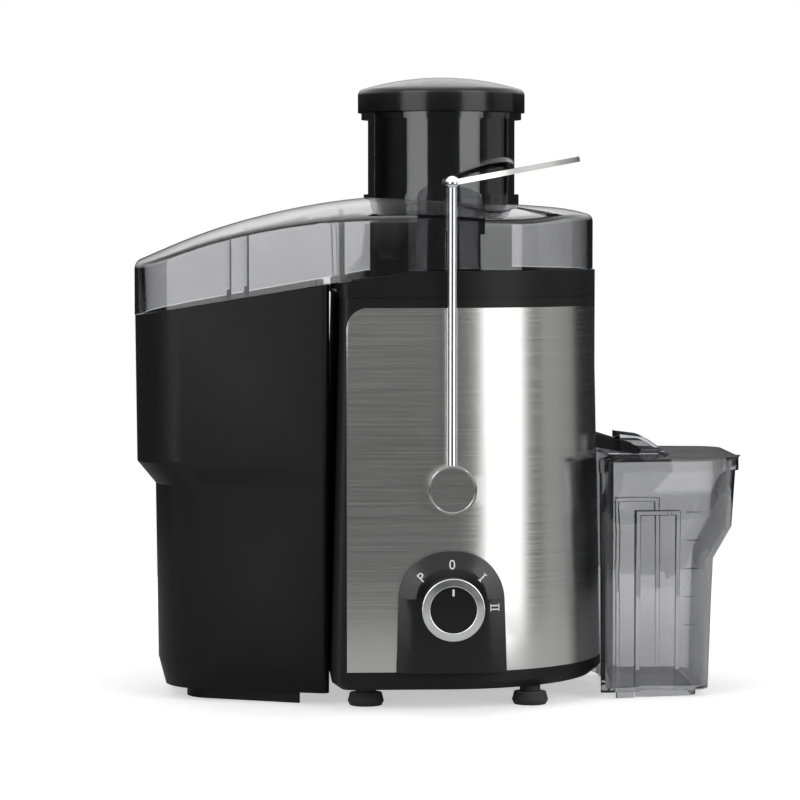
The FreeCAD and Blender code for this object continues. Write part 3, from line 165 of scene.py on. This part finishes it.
# Sizes and depths of the patterns in the finishes.
FLOW_MARK = 55 * MM
GRIT_DEPTH = 0.08 * MM
SCRATCH_LENGTH = 70 * MM
SCRATCH_DEPTH = 0.03 * MM
SMEAR = 9 * MM
WALL_WAVE = 24 * MM
WAVE_DEPTH = 0.5 * MM
RUBBER_GRAIN = 1.5 * MM
RUBBER_DEPTH = 0.1 * MM
INK_GRAIN = 0.6 * MM
RUBBER_COLOUR = "171717"


def start_material(slot):
    """An empty material for a slot, its tree and the Object coordinates in it."""
    material = bpy.data.materials.new(PREFIX + slot)
    material.use_nodes = True
    tree = material.node_tree
    tree.nodes.clear()
    return material, tree, add(tree, "ShaderNodeTexCoord").outputs["Object"]


def moulded_abs(slot, colour, roughness, shine, grit, bump):
    """Injection-moulded black ABS: the tool's grit breaks up the gloss and flow marks shade the colour."""
    material, tree, spot = start_material(slot)
    flow = add(tree, "ShaderNodeTexNoise", {"Vector": spot, "Scale": 1 / FLOW_MARK, "Detail": 2.0})
    spark = add(tree, "ShaderNodeTexNoise", {"Vector": spot, "Scale": 1 / grit,
                                             "Detail": 3.0}).outputs["Fac"]
    tint = add(tree, "ShaderNodeMix", {MIX_BY: flow.outputs["Fac"], COLOUR_A: shade(colour, 0.75),
                                       COLOUR_B: shade(colour, 1.3)}, data_type="RGBA")
    rough = add(tree, "ShaderNodeMapRange", {"Value": spark, "From Min": NOISE_LOW, "From Max": NOISE_HIGH,
                                             "To Min": roughness * 0.85, "To Max": roughness * 1.2})
    relief = add(tree, "ShaderNodeBump", {"Height": spark, "Strength": bump, "Distance": GRIT_DEPTH})
    shader = add(tree, "ShaderNodeBsdfPrincipled",
                 {"Base Color": tint.outputs[COLOUR_OUT], "Roughness": rough.outputs[0], "IOR": 1.54,
                  "Specular IOR Level": shine, "Normal": relief.outputs["Normal"]})
    add(tree, "ShaderNodeOutputMaterial", {"Surface": shader.outputs["BSDF"]})
    return material


def satin_abs():
    # Spark-eroded mould: an even, fine-grained satin black. The grit is drawn at 0.9 mm so that it shows.
    return moulded_abs("satin_black_abs", linear(looks().satin_colour), roughness=0.4, shine=0.17,
                       grit=0.9 * MM, bump=0.22)


def gloss_abs():
    # Smooth mould: deep black with soft reflections of the softboxes and barely any orange peel.
    return moulded_abs("gloss_black_abs", linear(looks().gloss_colour), roughness=0.18, shine=0.32,
                       grit=5 * MM, bump=0.02)


def brushed_stainless():
    # Stainless sheet brushed along its length: fine level scratches draw the highlights out upright.
    # The real scratches are about 0.1 mm apart; they are drawn coarser so that they show.
    material, tree, spot = start_material("brushed_stainless")
    steel = linear(looks().steel_colour)
    along, across = 1 / SCRATCH_LENGTH, 1 / looks().grain_pitch
    level = add(tree, "ShaderNodeMapping", {"Vector": spot, "Scale": (along, along, across)})
    scratch = add(tree, "ShaderNodeTexNoise", {"Vector": level.outputs["Vector"], "Scale": 1.0,
                                               "Detail": 4.0, "Roughness": 0.7}).outputs["Fac"]
    tint = add(tree, "ShaderNodeMix", {MIX_BY: scratch, COLOUR_A: shade(steel, 0.87),
                                       COLOUR_B: shade(steel, 1.02)}, data_type="RGBA")
    rough = add(tree, "ShaderNodeMapRange", {"Value": scratch, "From Min": NOISE_LOW, "From Max": NOISE_HIGH,
                                             "To Min": 0.18, "To Max": 0.25})
    relief = add(tree, "ShaderNodeBump", {"Height": scratch, "Strength": 0.07, "Distance": SCRATCH_DEPTH})
    shader = add(tree, "ShaderNodeBsdfPrincipled",
                 {"Base Color": tint.outputs[COLOUR_OUT], "Metallic": 1.0, "Roughness": rough.outputs[0],
                  "Anisotropic": 0.5, "Normal": relief.outputs["Normal"]})
    add(tree, "ShaderNodeOutputMaterial", {"Surface": shader.outputs["BSDF"]})
    return material


def chrome_plate():
    # Chrome on steel or plastic: a bright mirror, slightly dulled where it is handled.
    material, tree, spot = start_material("chrome")
    chrome = linear(looks().chrome_colour)
    smear = add(tree, "ShaderNodeTexNoise", {"Vector": spot, "Scale": 1 / SMEAR,
                                             "Detail": 3.0}).outputs["Fac"]
    rough = add(tree, "ShaderNodeMapRange", {"Value": smear, "From Min": NOISE_LOW, "From Max": NOISE_HIGH,
                                             "To Min": 0.07, "To Max": 0.16})
    tint = add(tree, "ShaderNodeMix", {MIX_BY: smear, COLOUR_A: shade(chrome, 0.9),
                                       COLOUR_B: shade(chrome, 1.04)}, data_type="RGBA")
    shader = add(tree, "ShaderNodeBsdfPrincipled",
                 {"Base Color": tint.outputs[COLOUR_OUT], "Metallic": 1.0, "Roughness": rough.outputs[0]})
    add(tree, "ShaderNodeOutputMaterial", {"Surface": shader.outputs["BSDF"]})
    return material


def smoke_clear():
    # Smoke-tinted SAN: a grey window with sharp reflections and faint flow waves in its wall. Seen
    # edge-on, more of the wall lies in the way, so it looks darker there.
    material, tree, spot = start_material("smoke_clear")
    smoke = linear(looks().smoke_colour)
    wave = add(tree, "ShaderNodeTexNoise", {"Vector": spot, "Scale": 1 / WALL_WAVE,
                                            "Detail": 1.0}).outputs["Fac"]
    tint = add(tree, "ShaderNodeMix", {MIX_BY: wave, COLOUR_A: shade(smoke, 0.9),
                                       COLOUR_B: shade(smoke, 1.05)}, data_type="RGBA")
    relief = add(tree, "ShaderNodeBump", {"Height": wave, "Strength": 0.05, "Distance": WAVE_DEPTH})
    slant = add(tree, "ShaderNodeLayerWeight", {"Blend": 0.3})
    through = add(tree, "ShaderNodeMix", {MIX_BY: slant.outputs["Facing"],
                                          COLOUR_A: tint.outputs[COLOUR_OUT],
                                          COLOUR_B: shade(smoke, 0.42)}, data_type="RGBA")
    shader = add(tree, "ShaderNodeBsdfPrincipled",
                 {"Base Color": through.outputs[COLOUR_OUT], "Roughness": 0.03, "IOR": 1.5,
                  "Transmission Weight": 1.0, "Normal": relief.outputs["Normal"]})
    add(tree, "ShaderNodeOutputMaterial", {"Surface": shader.outputs["BSDF"]})
    return material


def black_rubber():
    # Moulded rubber: matt black with a dusty bloom.
    material, tree, spot = start_material("black_rubber")
    rubber = linear(RUBBER_COLOUR)
    bloom = add(tree, "ShaderNodeTexNoise", {"Vector": spot, "Scale": 1 / RUBBER_GRAIN,
                                             "Detail": 4.0}).outputs["Fac"]
    tint = add(tree, "ShaderNodeMix", {MIX_BY: bloom, COLOUR_A: rubber, COLOUR_B: shade(rubber, 1.9)},
               data_type="RGBA")
    relief = add(tree, "ShaderNodeBump", {"Height": bloom, "Strength": 0.3, "Distance": RUBBER_DEPTH})
    shader = add(tree, "ShaderNodeBsdfPrincipled",
                 {"Base Color": tint.outputs[COLOUR_OUT], "Roughness": 0.75, "Sheen Weight": 0.15,
                  "Normal": relief.outputs["Normal"]})
    add(tree, "ShaderNodeOutputMaterial", {"Surface": shader.outputs["BSDF"]})
    return material


def mottled(slot, code, metallic, roughness, grain):
    """A material with a mottled colour and an uneven gloss."""
    material, tree, spot = start_material(slot)
    colour = linear(code)
    mottle = add(tree, "ShaderNodeTexNoise", {"Vector": spot, "Scale": 1 / grain,
                                              "Detail": 4.0}).outputs["Fac"]
    tint = add(tree, "ShaderNodeMix", {MIX_BY: mottle, COLOUR_A: shade(colour, 0.7),
                                       COLOUR_B: shade(colour, 1.1)}, data_type="RGBA")
    rough = add(tree, "ShaderNodeMapRange", {"Value": mottle, "From Min": NOISE_LOW, "From Max": NOISE_HIGH,
                                             "To Min": roughness * 0.8, "To Max": roughness * 1.25})
    shader = add(tree, "ShaderNodeBsdfPrincipled",
                 {"Base Color": tint.outputs[COLOUR_OUT], "Metallic": metallic,
                  "Roughness": rough.outputs[0]})
    add(tree, "ShaderNodeOutputMaterial", {"Surface": shader.outputs["BSDF"]})
    return material


def printed_ink():
    # Pad-printed ink: matt, pale and slightly uneven.
    return mottled("printed_ink", looks().mark_colour, metallic=0.0, roughness=0.5, grain=INK_GRAIN)


MADE_FINISHES = {
    "satin_black_abs": satin_abs,
    "gloss_black_abs": gloss_abs,
    "brushed_stainless": brushed_stainless,
    "chrome": chrome_plate,
    "smoke_clear": smoke_clear,
    "black_rubber": black_rubber,
    "printed_ink": printed_ink,
}
# Working materials of the motor and strainer: sRGB hex, metallic, roughness and grain.
WORKS_FINISHES = {
    # Turned and pressed steel: bright, with faint tool marks.
    "plain_steel": ("B9BABB", 1.0, 0.3, 3 * MM),
    # Stacked silicon steel: dull and bluish.
    "lamination_steel": ("6F7379", 1.0, 0.5, 1.5 * MM),
    # Enamelled copper wire: warm, with a varnish gloss.
    "copper_wire": ("B4652F", 1.0, 0.32, 1.2 * MM),
    # Brass sleeves and segments: yellow, lightly tarnished.
    "brass": ("C3A258", 1.0, 0.3, 4 * MM),
    # Pressed carbon: matt grey-black.
    "carbon": ("242424", 0.0, 0.7, 0.8 * MM),
    # Moulded nylon: milky off-white with a soft gloss.
    "nylon": ("D5D2C6", 0.0, 0.45, 6 * MM),
}


def finish(slot):
    """The finish of a material slot, made on its first use."""
    made = bpy.data.materials.get(PREFIX + slot)
    if made:
        return made
    if slot in WORKS_FINISHES:
        return mottled(slot, *WORKS_FINISHES[slot])
    return MADE_FINISHES[slot]()


SHARP = math.radians(30)
MERGE = 0.001 * MM


def link_piece(name, mesh, body, material):
    """A finished mesh as a piece that rides on a body."""
    piece = bpy.data.objects.new(name, mesh)
    bpy.context.scene.collection.objects.link(piece)
    mesh.materials.clear()
    mesh.materials.append(material)
    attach(piece, body)
    return piece


def mark_sharp(form):
    """Smooth shading that keeps the sharp edges sharp."""
    for face in form.faces:
        face.smooth = True
    for edge in form.edges:
        edge.smooth = len(edge.link_faces) == 2 and edge.calc_face_angle(math.pi) < SHARP


def evaluated_mesh(piece):
    """What an object's modifiers make of it, as a plain mesh."""
    graph = bpy.context.evaluated_depsgraph_get()
    return bpy.data.meshes.new_from_object(piece.evaluated_get(graph))


def bevelled(mesh, edge):
    """The mesh with its sharp edges rounded."""
    blank = bpy.data.objects.new("blank", mesh)
    bpy.context.scene.collection.objects.link(blank)
    bevel = blank.modifiers.new("edge", "BEVEL")
    bevel.width = edge
    bevel.segments = 2
    bevel.limit_method = "ANGLE"
    bevel.angle_limit = SHARP
    bevel.harden_normals = True
    result = evaluated_mesh(blank)
    bpy.data.objects.remove(blank)
    return result


def dress(node, edge=0.0):
    """A clean copy of a CAD node in its own place: merged, smooth shaded and with rounded edges."""
    form = bmesh.new()
    form.from_mesh(NODES[node].data)
    bmesh.ops.remove_doubles(form, verts=form.verts, dist=MERGE)
    mark_sharp(form)
    mesh = bpy.data.meshes.new(node + "_finish")
    form.to_mesh(mesh)
    form.free()
    if edge:
        mesh = bevelled(mesh, edge)
    piece = link_piece(node + "_finish", mesh, BODY_OF[node], finish(SLOT_OF[node]))
    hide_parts(node)
    return piece


def paint(*names):
    """The finish of its slot on a CAD node that keeps its own mesh."""
    for node in names:
        slots = NODES[node].data.materials
        slots.clear()
        slots.append(finish(SLOT_OF[node]))


def surface_of(piece):
    """A piece's faces, ready for rays to be cast on them."""
    form = bmesh.new()
    form.from_mesh(piece.data)
    tree = BVHTree.FromBMesh(form)
    form.free()
    return tree


# Rays start this far in front of the juicer and run to the back.
AHEAD = 1.0
BACKWARD = Vector((0, 1, 0))


def front_of(base, x, z, what):
    """The point of a surface that lies first behind a place on the front."""
    hit = base.ray_cast(Vector((x, -AHEAD, z)), BACKWARD)[0]
    if hit is None:
        raise RuntimeError(what + " is off its surface")
    return hit


def ring_mesh(name, radius, thick, centre, sides=72, round_sides=10):
    """A ring about a line along Y, with a round section."""
    form = bmesh.new()
    loops = []
    for n in range(sides):
        turn = 2 * math.pi * n / sides
        loop = []
        for m in range(round_sides):
            lean = 2 * math.pi * m / round_sides
            reach = radius + thick * math.cos(lean)
            loop.append(form.verts.new((centre[0] + reach * math.cos(turn),
                                        centre[1] + thick * math.sin(lean),
                                        centre[2] + reach * math.sin(turn))))
        loops.append(loop)
    for n in range(sides):
        here, there = loops[n], loops[(n + 1) % sides]
        for m in range(round_sides):
            after = (m + 1) % round_sides
            form.faces.new((here[m], here[after], there[after], there[m]))
    bmesh.ops.recalc_face_normals(form, faces=form.faces)
    mark_sharp(form)
    mesh = bpy.data.meshes.new(name)
    form.to_mesh(mesh)
    form.free()
    return mesh


DIAL_CENTRE = Vector((0.0, 0.0, 50.4 * MM))
# Half the thickness of a printed mark.
INK = 0.06 * MM
# Cuts along a stroke, so that it can follow a sloping plate.
STROKE_CUTS = 5
# Font size for a figure of height 1.
FONT_SIZE = 1.4
POINTER_HALF_WIDTH = 0.5 * MM
POINTER_HALF_HEIGHT = 1.6 * MM
POINTER_RING = 8.2 * MM
# The dial's four places, in degrees.
PULSE, OFF, SLOW, FAST = -45, 0, 45, 90


def bar_strokes(count, height):
    """One or two upright bars with short cross strokes, as (x, z, half width, half height) boxes."""
    stem, foot = 0.075 * height, 0.05 * height
    spread = 0.2 * height * (count - 1)
    stems = [(-spread + 2 * spread * n / max(count - 1, 1), 0.0, stem, height / 2) for n in range(count)]
    reach = spread + 2.6 * stem
    return stems + [(0.0, side * (height / 2 - foot), reach, foot) for side in (-1, 1)]


def stroke_mesh(strokes):
    """Thin boxes in the XY plane, cut up so that they can bend."""
    form = bmesh.new()
    for x, z, wide, high in strokes:
        box = Matrix.Translation((x, z, 0)) @ Matrix.Diagonal((2 * wide, 2 * high, 2 * INK, 1))
        bmesh.ops.create_cube(form, size=1.0, matrix=box)
    bmesh.ops.subdivide_edges(form, edges=form.edges, cuts=STROKE_CUTS, use_grid_fill=True)
    mesh = bpy.data.meshes.new("strokes")
    form.to_mesh(mesh)
    form.free()
    return mesh


def figure_mesh(text, height):
    """A figure as a thin mesh in the XY plane, centred."""
    curve = bpy.data.curves.new("figure", "FONT")
    curve.body = text
    curve.size = height * FONT_SIZE
    curve.extrude = INK
    curve.align_x = "CENTER"
    curve.align_y = "CENTER"
    blank = bpy.data.objects.new("figure", curve)
    bpy.context.scene.collection.objects.link(blank)
    mesh = evaluated_mesh(blank)
    bpy.data.objects.remove(blank)
    return mesh


def lay_on_front(mesh, base, angle, reach):
    """Turns a flat mesh to the front, sets it round the dial's centre and lays it on the surface there."""
    turn = Matrix.Rotation(angle, 4, "Y")
    stand = Matrix.Rotation(math.radians(90), 4, "X")
    mesh.transform(Matrix.Translation(DIAL_CENTRE) @ turn @ Matrix.Translation((0, 0, reach)) @ stand)
    for vertex in mesh.vertices:
        vertex.co.y += front_of(base, vertex.co.x, vertex.co.z, "a dial mark").y


def joined_mesh(name, meshes):
    """Several meshes as one."""
    form = bmesh.new()
    for mesh in meshes:
        form.from_mesh(mesh)
    result = bpy.data.meshes.new(name)
    form.to_mesh(result)
    form.free()
    return result


def scale_tree():
    """Geometry nodes: a row of equal short bars, such as the lines of a measuring scale."""
    tree = bpy.data.node_groups.new("Scale lines", "GeometryNodeTree")
    face = tree.interface
    face.new_socket("Geometry", in_out="INPUT", socket_type="NodeSocketGeometry")
    for name, kind in (("Count", "NodeSocketInt"), ("Start", "NodeSocketVector"),
                       ("Step", "NodeSocketVector"), ("Bar", "NodeSocketVector"),
                       ("Finish", "NodeSocketMaterial")):
        face.new_socket(name, in_out="INPUT", socket_type=kind)
    face.new_socket("Geometry", in_out="OUTPUT", socket_type="NodeSocketGeometry")
    given = add(tree, "NodeGroupInput").outputs
    row = add(tree, "GeometryNodeMeshLine", {"Count": given["Count"], "Start Location": given["Start"],
                                             "Offset": given["Step"]}, mode="OFFSET")
    bar = add(tree, "GeometryNodeMeshCube", {"Size": given["Bar"]})
    bars = add(tree, "GeometryNodeInstanceOnPoints", {"Points": row.outputs["Mesh"],
                                                      "Instance": bar.outputs["Mesh"]})
    solid = add(tree, "GeometryNodeRealizeInstances", {"Geometry": bars.outputs["Instances"]})
    finished = add(tree, "GeometryNodeSetMaterial", {"Geometry": solid.outputs["Geometry"],
                                                     "Material": given["Finish"]})
    add(tree, "NodeGroupOutput", {0: finished.outputs["Geometry"]})
    return tree


def grown(tree, **values):
    """The plain mesh that a geometry tree makes from the values."""
    blank = bpy.data.objects.new("grown", bpy.data.meshes.new("grown"))
    bpy.context.scene.collection.objects.link(blank)
    modifier = blank.modifiers.new("grown", "NODES")
    modifier.node_group = tree
    for item in tree.interface.items_tree:
        if item.in_out == "INPUT" and item.name in values:
            modifier[item.identifier] = values[item.name]
    mesh = evaluated_mesh(blank)
    blank.modifiers.remove(modifier)
    bpy.data.objects.remove(blank)
    return mesh


class JUICER_OT_motor_base(bpy.types.Operator):
    """Housing, steel panel, base plate, feet, bowl and rear gland"""
    bl_idname = "juicer.motor_base"
    bl_label = "Motor base"

    def execute(self, context):
        edge = looks().edge_round
        for node in ("motor_housing", "base_plate", "juice_bowl"):
            dress(node, edge)
        dress("steel_panel")
        for node in ("suction_foot_1", "suction_foot_2", "suction_foot_3", "suction_foot_4", "cord_gland"):
            dress(node, edge)
        paint("base_screws")
        return {"FINISHED"}


class JUICER_OT_lid(bpy.types.Operator):
    """Smoke-clear lid with its feed chute"""
    bl_idname = "juicer.lid"
    bl_label = "Lid"

    def execute(self, context):
        dress("lid")
        return {"FINISHED"}


class JUICER_OT_pusher(bpy.types.Operator):
    """Black pusher: tube and domed cap"""
    bl_idname = "juicer.pusher"
    bl_label = "Pusher"

    def execute(self, context):
        dress("pusher_cap")
        dress("pusher_tube")
        return {"FINISHED"}


# The hubs' bright rims: half their thickness, and how far their middle lies behind the hub's face.
RIM = 0.8 * MM
RIM_SUNK = 0.65 * MM


class JUICER_OT_locking_arm(bpy.types.Operator):
    """Bright locking arm: rods, handle and rimmed pivot hubs"""
    bl_idname = "juicer.locking_arm"
    bl_label = "Locking arm"

    def execute(self, context):
        for node in ("arm_rod_front", "arm_rod_rear", "arm_handle"):
            dress(node)
        for node, front in (("pivot_hub_front", True), ("pivot_hub_rear", False)):
            dress(node, looks().edge_round)
            low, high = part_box(node)
            radius = (high[0] - low[0]) / 2
            middle = low[1] + RIM_SUNK if front else high[1] - RIM_SUNK
            rim = ring_mesh(node + "_rim", radius - RIM, RIM, (0.0, middle, (low[2] + high[2]) / 2))
            link_piece(node + "_rim", rim, "arm", finish("chrome"))
        paint("arm_bush_front", "arm_bush_rear")
        return {"FINISHED"}


class JUICER_OT_dial(bpy.types.Operator):
    """Arched dial plate with its printed marks, the knob and its bright ring"""
    bl_idname = "juicer.dial"
    bl_label = "Dial"

    def execute(self, context):
        plate = surface_of(dress("dial_plate"))
        knob = surface_of(dress("dial_knob", looks().edge_round))
        dress("dial_ring", looks().edge_round)
        paint("switch_spindle", "rotary_switch")
        high, reach = looks().mark_height, looks().mark_ring
        figures = [(figure_mesh("P", high), PULSE), (figure_mesh("0", high), OFF),
                   (stroke_mesh(bar_strokes(1, high)), SLOW), (stroke_mesh(bar_strokes(2, high)), FAST)]
        for mesh, degrees in figures:
            lay_on_front(mesh, plate, math.radians(degrees), reach)
        marks = joined_mesh("dial_marks", [mesh for mesh, _ in figures])
        link_piece("dial_marks", marks, "base", finish("printed_ink"))
        line = stroke_mesh([(0.0, 0.0, POINTER_HALF_WIDTH, POINTER_HALF_HEIGHT)])
        lay_on_front(line, knob, 0.0, POINTER_RING)
        link_piece("knob_pointer", line, "dial", finish("printed_ink"))
        return {"FINISHED"}


class JUICER_OT_pulp_bin(bpy.types.Operator):
    """Satin black pulp bin"""
    bl_idname = "juicer.pulp_bin"
    bl_label = "Pulp bin"

    def execute(self, context):
        dress("pulp_bin", looks().edge_round)
        return {"FINISHED"}


# The jug's scale: distance from the motor axis, highest and lowest line, and one line's size.
SCALE_ASIDE = 121 * MM
SCALE_TOP = 92 * MM
SCALE_FOOT = 36 * MM
SCALE_LINE = (7 * MM, 0.3 * MM, 0.6 * MM)


class JUICER_OT_jug(bpy.types.Operator):
    """Smoke-clear jug with its lid and a plain measuring scale"""
    bl_idname = "juicer.jug"
    bl_label = "Juice jug"

    def execute(self, context):
        wall = surface_of(dress("juice_jug"))
        dress("jug_lid")
        top = front_of(wall, SCALE_ASIDE, SCALE_TOP, "the jug's scale")
        foot = front_of(wall, SCALE_ASIDE, SCALE_FOOT, "the jug's scale")
        steps = looks().scale_steps
        clear = finish("smoke_clear")
        lines = grown(scale_tree(), Count=steps, Start=top, Step=(foot - top) / max(steps - 1, 1),
                      Bar=SCALE_LINE, Finish=clear)
        link_piece("jug_scale", lines, "jug", clear)
        return {"FINISHED"}


class JUICER_OT_works(bpy.types.Operator):
    """Strainer, grater and motor inside"""
    bl_idname = "juicer.works"
    bl_label = "Strainer and motor"

    def execute(self, context):
        dress("strainer_basket")
        dress("grater_disc")
        paint("basket_rim", "drive_coupling", "motor_shaft", "armature_core", "armature_windings",
              "commutator", "cooling_fan", "motor_stator", "field_coils", "upper_bracket", "lower_bracket",
              "motor_bolts", "carbon_brushes", "brush_holders", "lower_bearing", "upper_bearing",
              "shaft_seal", "motor_mounts", "safety_switch")
        return {"FINISHED"}


# Softboxes: name, property that holds the power, width, height and place.
LIGHTS = (
    ("softbox_left", "side_power", 0.8, 1.4, (-0.85, -0.95, 0.55)),
    ("softbox_right", "side_power", 0.8, 1.4, (0.85, -0.95, 0.55)),
    ("softbox_top", "top_power", 1.2, 1.2, (-0.1, 0.25, 1.5)),
    ("fill_card", "card_power", 0.75, 1.2, (1.1, 0.03, 0.3)),
)
LIGHT_AIM = (0.0, 0.0, 0.15)
# Light levels: the backdrop that the camera sees, the room and its ceiling as things mirror them, and
# the faint light that the room sheds.
BACKDROP = 1.0
ROOM_FRONT = 0.14
ROOM_BEHIND = 0.02
CEILING = 1.4
ROOM_FILL = 0.1
# The room's front passes into its back, and its walls into the ceiling, between these directions.
SIDE_BLEND = 0.25
CEILING_FROM, CEILING_TO = 0.05, 0.3
# A ray's glossy depth below this means that nothing has mirrored the ray.
UNMIRRORED = 0.5
# The table, whose glow rises between two distances until it is as white as the backdrop.
TABLE_COLOUR = "F2F2F2"
TABLE_RADIUS = 0.55
GLOW_FROM, GLOW_TO = 0.12, 0.4
GLOW_MIDDLE, GLOW_EDGE = 0.5, 1.0
WHITE = (1, 1, 1, 1)
SENSOR = 36


def softbox(name, power, wide, high, place):
    """A rectangular lamp at a place, turned to the juicer."""
    lamp = bpy.data.lights.new(name, "AREA")
    lamp.shape = "RECTANGLE"
    lamp.size, lamp.size_y = wide, high
    lamp.energy = power
    holder = bpy.data.objects.new(name, lamp)
    holder.location = place
    holder.rotation_euler = (Vector(LIGHT_AIM) - Vector(place)).to_track_quat("-Z", "Y").to_euler()
    bpy.context.scene.collection.objects.link(holder)


def straight_view(tree, path):
    """One for rays that the camera sends out, also through clear walls, unless something mirrored them."""
    direct = add(tree, "ShaderNodeMath", {0: path["Glossy Depth"], 1: UNMIRRORED}, operation="LESS_THAN")
    window = add(tree, "ShaderNodeMath", {0: path["Is Transmission Ray"], 1: direct.outputs[0]},
                 operation="MULTIPLY")
    return add(tree, "ShaderNodeMath", {0: path["Is Camera Ray"], 1: window.outputs[0]},
               operation="MAXIMUM").outputs[0]


def studio_world():
    """White backdrop for the eye, and a dim room with a pale ceiling for reflections."""
    world = bpy.data.worlds.new("studio")
    world.use_nodes = True
    tree = world.node_tree
    tree.nodes.clear()
    path = add(tree, "ShaderNodeLightPath").outputs
    way = add(tree, "ShaderNodeSeparateXYZ", {0: add(tree, "ShaderNodeTexCoord").outputs["Generated"]})
    horizon = add(tree, "ShaderNodeMapRange", {"Value": way.outputs["Y"], "From Min": -SIDE_BLEND,
                                               "From Max": SIDE_BLEND, "To Min": ROOM_FRONT,
                                               "To Max": ROOM_BEHIND})
    ceiling = add(tree, "ShaderNodeMapRange", {"Value": way.outputs["Z"], "From Min": CEILING_FROM,
                                               "From Max": CEILING_TO, "To Min": horizon.outputs[0],
                                               "To Max": CEILING})
    glossy = add(tree, "ShaderNodeMix", {MIX_BY: path["Is Glossy Ray"], NUMBER_A: ROOM_FILL,
                                         NUMBER_B: ceiling.outputs[0]})
    level = add(tree, "ShaderNodeMix", {MIX_BY: straight_view(tree, path),
                                        NUMBER_A: glossy.outputs[NUMBER_OUT], NUMBER_B: BACKDROP})
    light = add(tree, "ShaderNodeBackground", {"Color": WHITE, "Strength": level.outputs[NUMBER_OUT]})
    add(tree, "ShaderNodeOutputWorld", {"Surface": light.outputs[0]})
    bpy.context.scene.world = world


def studio_floor():
    """A round white table that keeps a soft shadow and fades into the backdrop at its edge."""
    form = bmesh.new()
    bmesh.ops.create_circle(form, cap_ends=True, segments=96, radius=TABLE_RADIUS)
    mesh = bpy.data.meshes.new("floor")
    form.to_mesh(mesh)
    form.free()
    floor = bpy.data.objects.new("floor", mesh)
    bpy.context.scene.collection.objects.link(floor)
    material = bpy.data.materials.new("white_table")
    material.use_nodes = True
    tree = material.node_tree
    tree.nodes.clear()
    path = add(tree, "ShaderNodeLightPath").outputs
    matt = add(tree, "ShaderNodeBsdfDiffuse", {"Color": linear(TABLE_COLOUR)})
    spot = add(tree, "ShaderNodeTexCoord").outputs["Object"]
    far = add(tree, "ShaderNodeVectorMath", {0: spot}, operation="LENGTH")
    lift = add(tree, "ShaderNodeMapRange", {"Value": far.outputs["Value"], "From Min": GLOW_FROM,
                                            "From Max": GLOW_TO, "To Min": GLOW_MIDDLE, "To Max": GLOW_EDGE})
    level = add(tree, "ShaderNodeMath", {0: straight_view(tree, path), 1: lift.outputs[0]},
                operation="MULTIPLY")
    glow = add(tree, "ShaderNodeEmission", {"Color": WHITE, "Strength": level.outputs[0]})
    both = add(tree, "ShaderNodeAddShader", {0: matt.outputs[0], 1: glow.outputs[0]})
    add(tree, "ShaderNodeOutputMaterial", {"Surface": both.outputs[0]})
    mesh.materials.append(material)


class JUICER_OT_studio(bpy.types.Operator):
    """White table, softboxes and camera"""
    bl_idname = "juicer.studio"
    bl_label = "Studio"

    def execute(self, context):
        scene = context.scene
        studio = scene.juicer_studio
        scene.view_settings.view_transform = "Standard"
        studio_world()
        studio_floor()
        for name, power, wide, high, place in LIGHTS:
            softbox(name, getattr(studio, power), wide, high, place)
        swing = studio.swing
        right = Vector((math.cos(swing), math.sin(swing), 0))
        back = Vector((math.sin(swing), -math.cos(swing), 0))
        target = right * studio.aim_aside + Vector((0, 0, studio.aim_up))
        place = right * studio.aim_aside + back * studio.distance + Vector((0, 0, studio.eye))
        lens = bpy.data.cameras.new("camera")
        lens.lens = studio.lens
        lens.sensor_width = SENSOR
        camera = bpy.data.objects.new("camera", lens)
        camera.location = place
        camera.rotation_euler = (target - place).to_track_quat("-Z", "Y").to_euler()
        scene.collection.objects.link(camera)
        scene.camera = camera
        return {"FINISHED"}


OPERATORS = (JUICER_OT_studio, JUICER_OT_motor_base, JUICER_OT_lid, JUICER_OT_pusher, JUICER_OT_locking_arm,
             JUICER_OT_dial, JUICER_OT_pulp_bin, JUICER_OT_jug, JUICER_OT_works)


class JUICER_PT_panel(bpy.types.Panel):
    """Lists the juicer's operators and sizes"""
    bl_idname = "JUICER_PT_panel"
    bl_label = "Centrifugal juicer"
    bl_space_type = "VIEW_3D"
    bl_region_type = "UI"
    bl_category = "Juicer"

    def draw(self, context):
        for operator in OPERATORS:
            self.layout.operator(operator.bl_idname)
        for group in (context.scene.juicer_looks, context.scene.juicer_studio):
            for name in group.bl_rna.properties.keys():
                if name not in ("rna_type", "name"):
                    self.layout.prop(group, name)


CLASSES = (JuicerLooks, JuicerStudio) + OPERATORS + (JUICER_PT_panel,)


def register():
    for kind in CLASSES:
        bpy.utils.register_class(kind)
    bpy.types.Scene.juicer_looks = bpy.props.PointerProperty(type=JuicerLooks)
    bpy.types.Scene.juicer_studio = bpy.props.PointerProperty(type=JuicerStudio)


def unregister():
    del bpy.types.Scene.juicer_studio
    del bpy.types.Scene.juicer_looks
    for kind in reversed(CLASSES):
        bpy.utils.unregister_class(kind)


def main():
    register()
    bpy.ops.juicer.studio()
    bpy.ops.juicer.motor_base()
    bpy.ops.juicer.lid()
    bpy.ops.juicer.pusher()
    bpy.ops.juicer.locking_arm()
    bpy.ops.juicer.dial()
    bpy.ops.juicer.pulp_bin()
    bpy.ops.juicer.jug()
    bpy.ops.juicer.works()


if __name__ == "__main__":
    main()
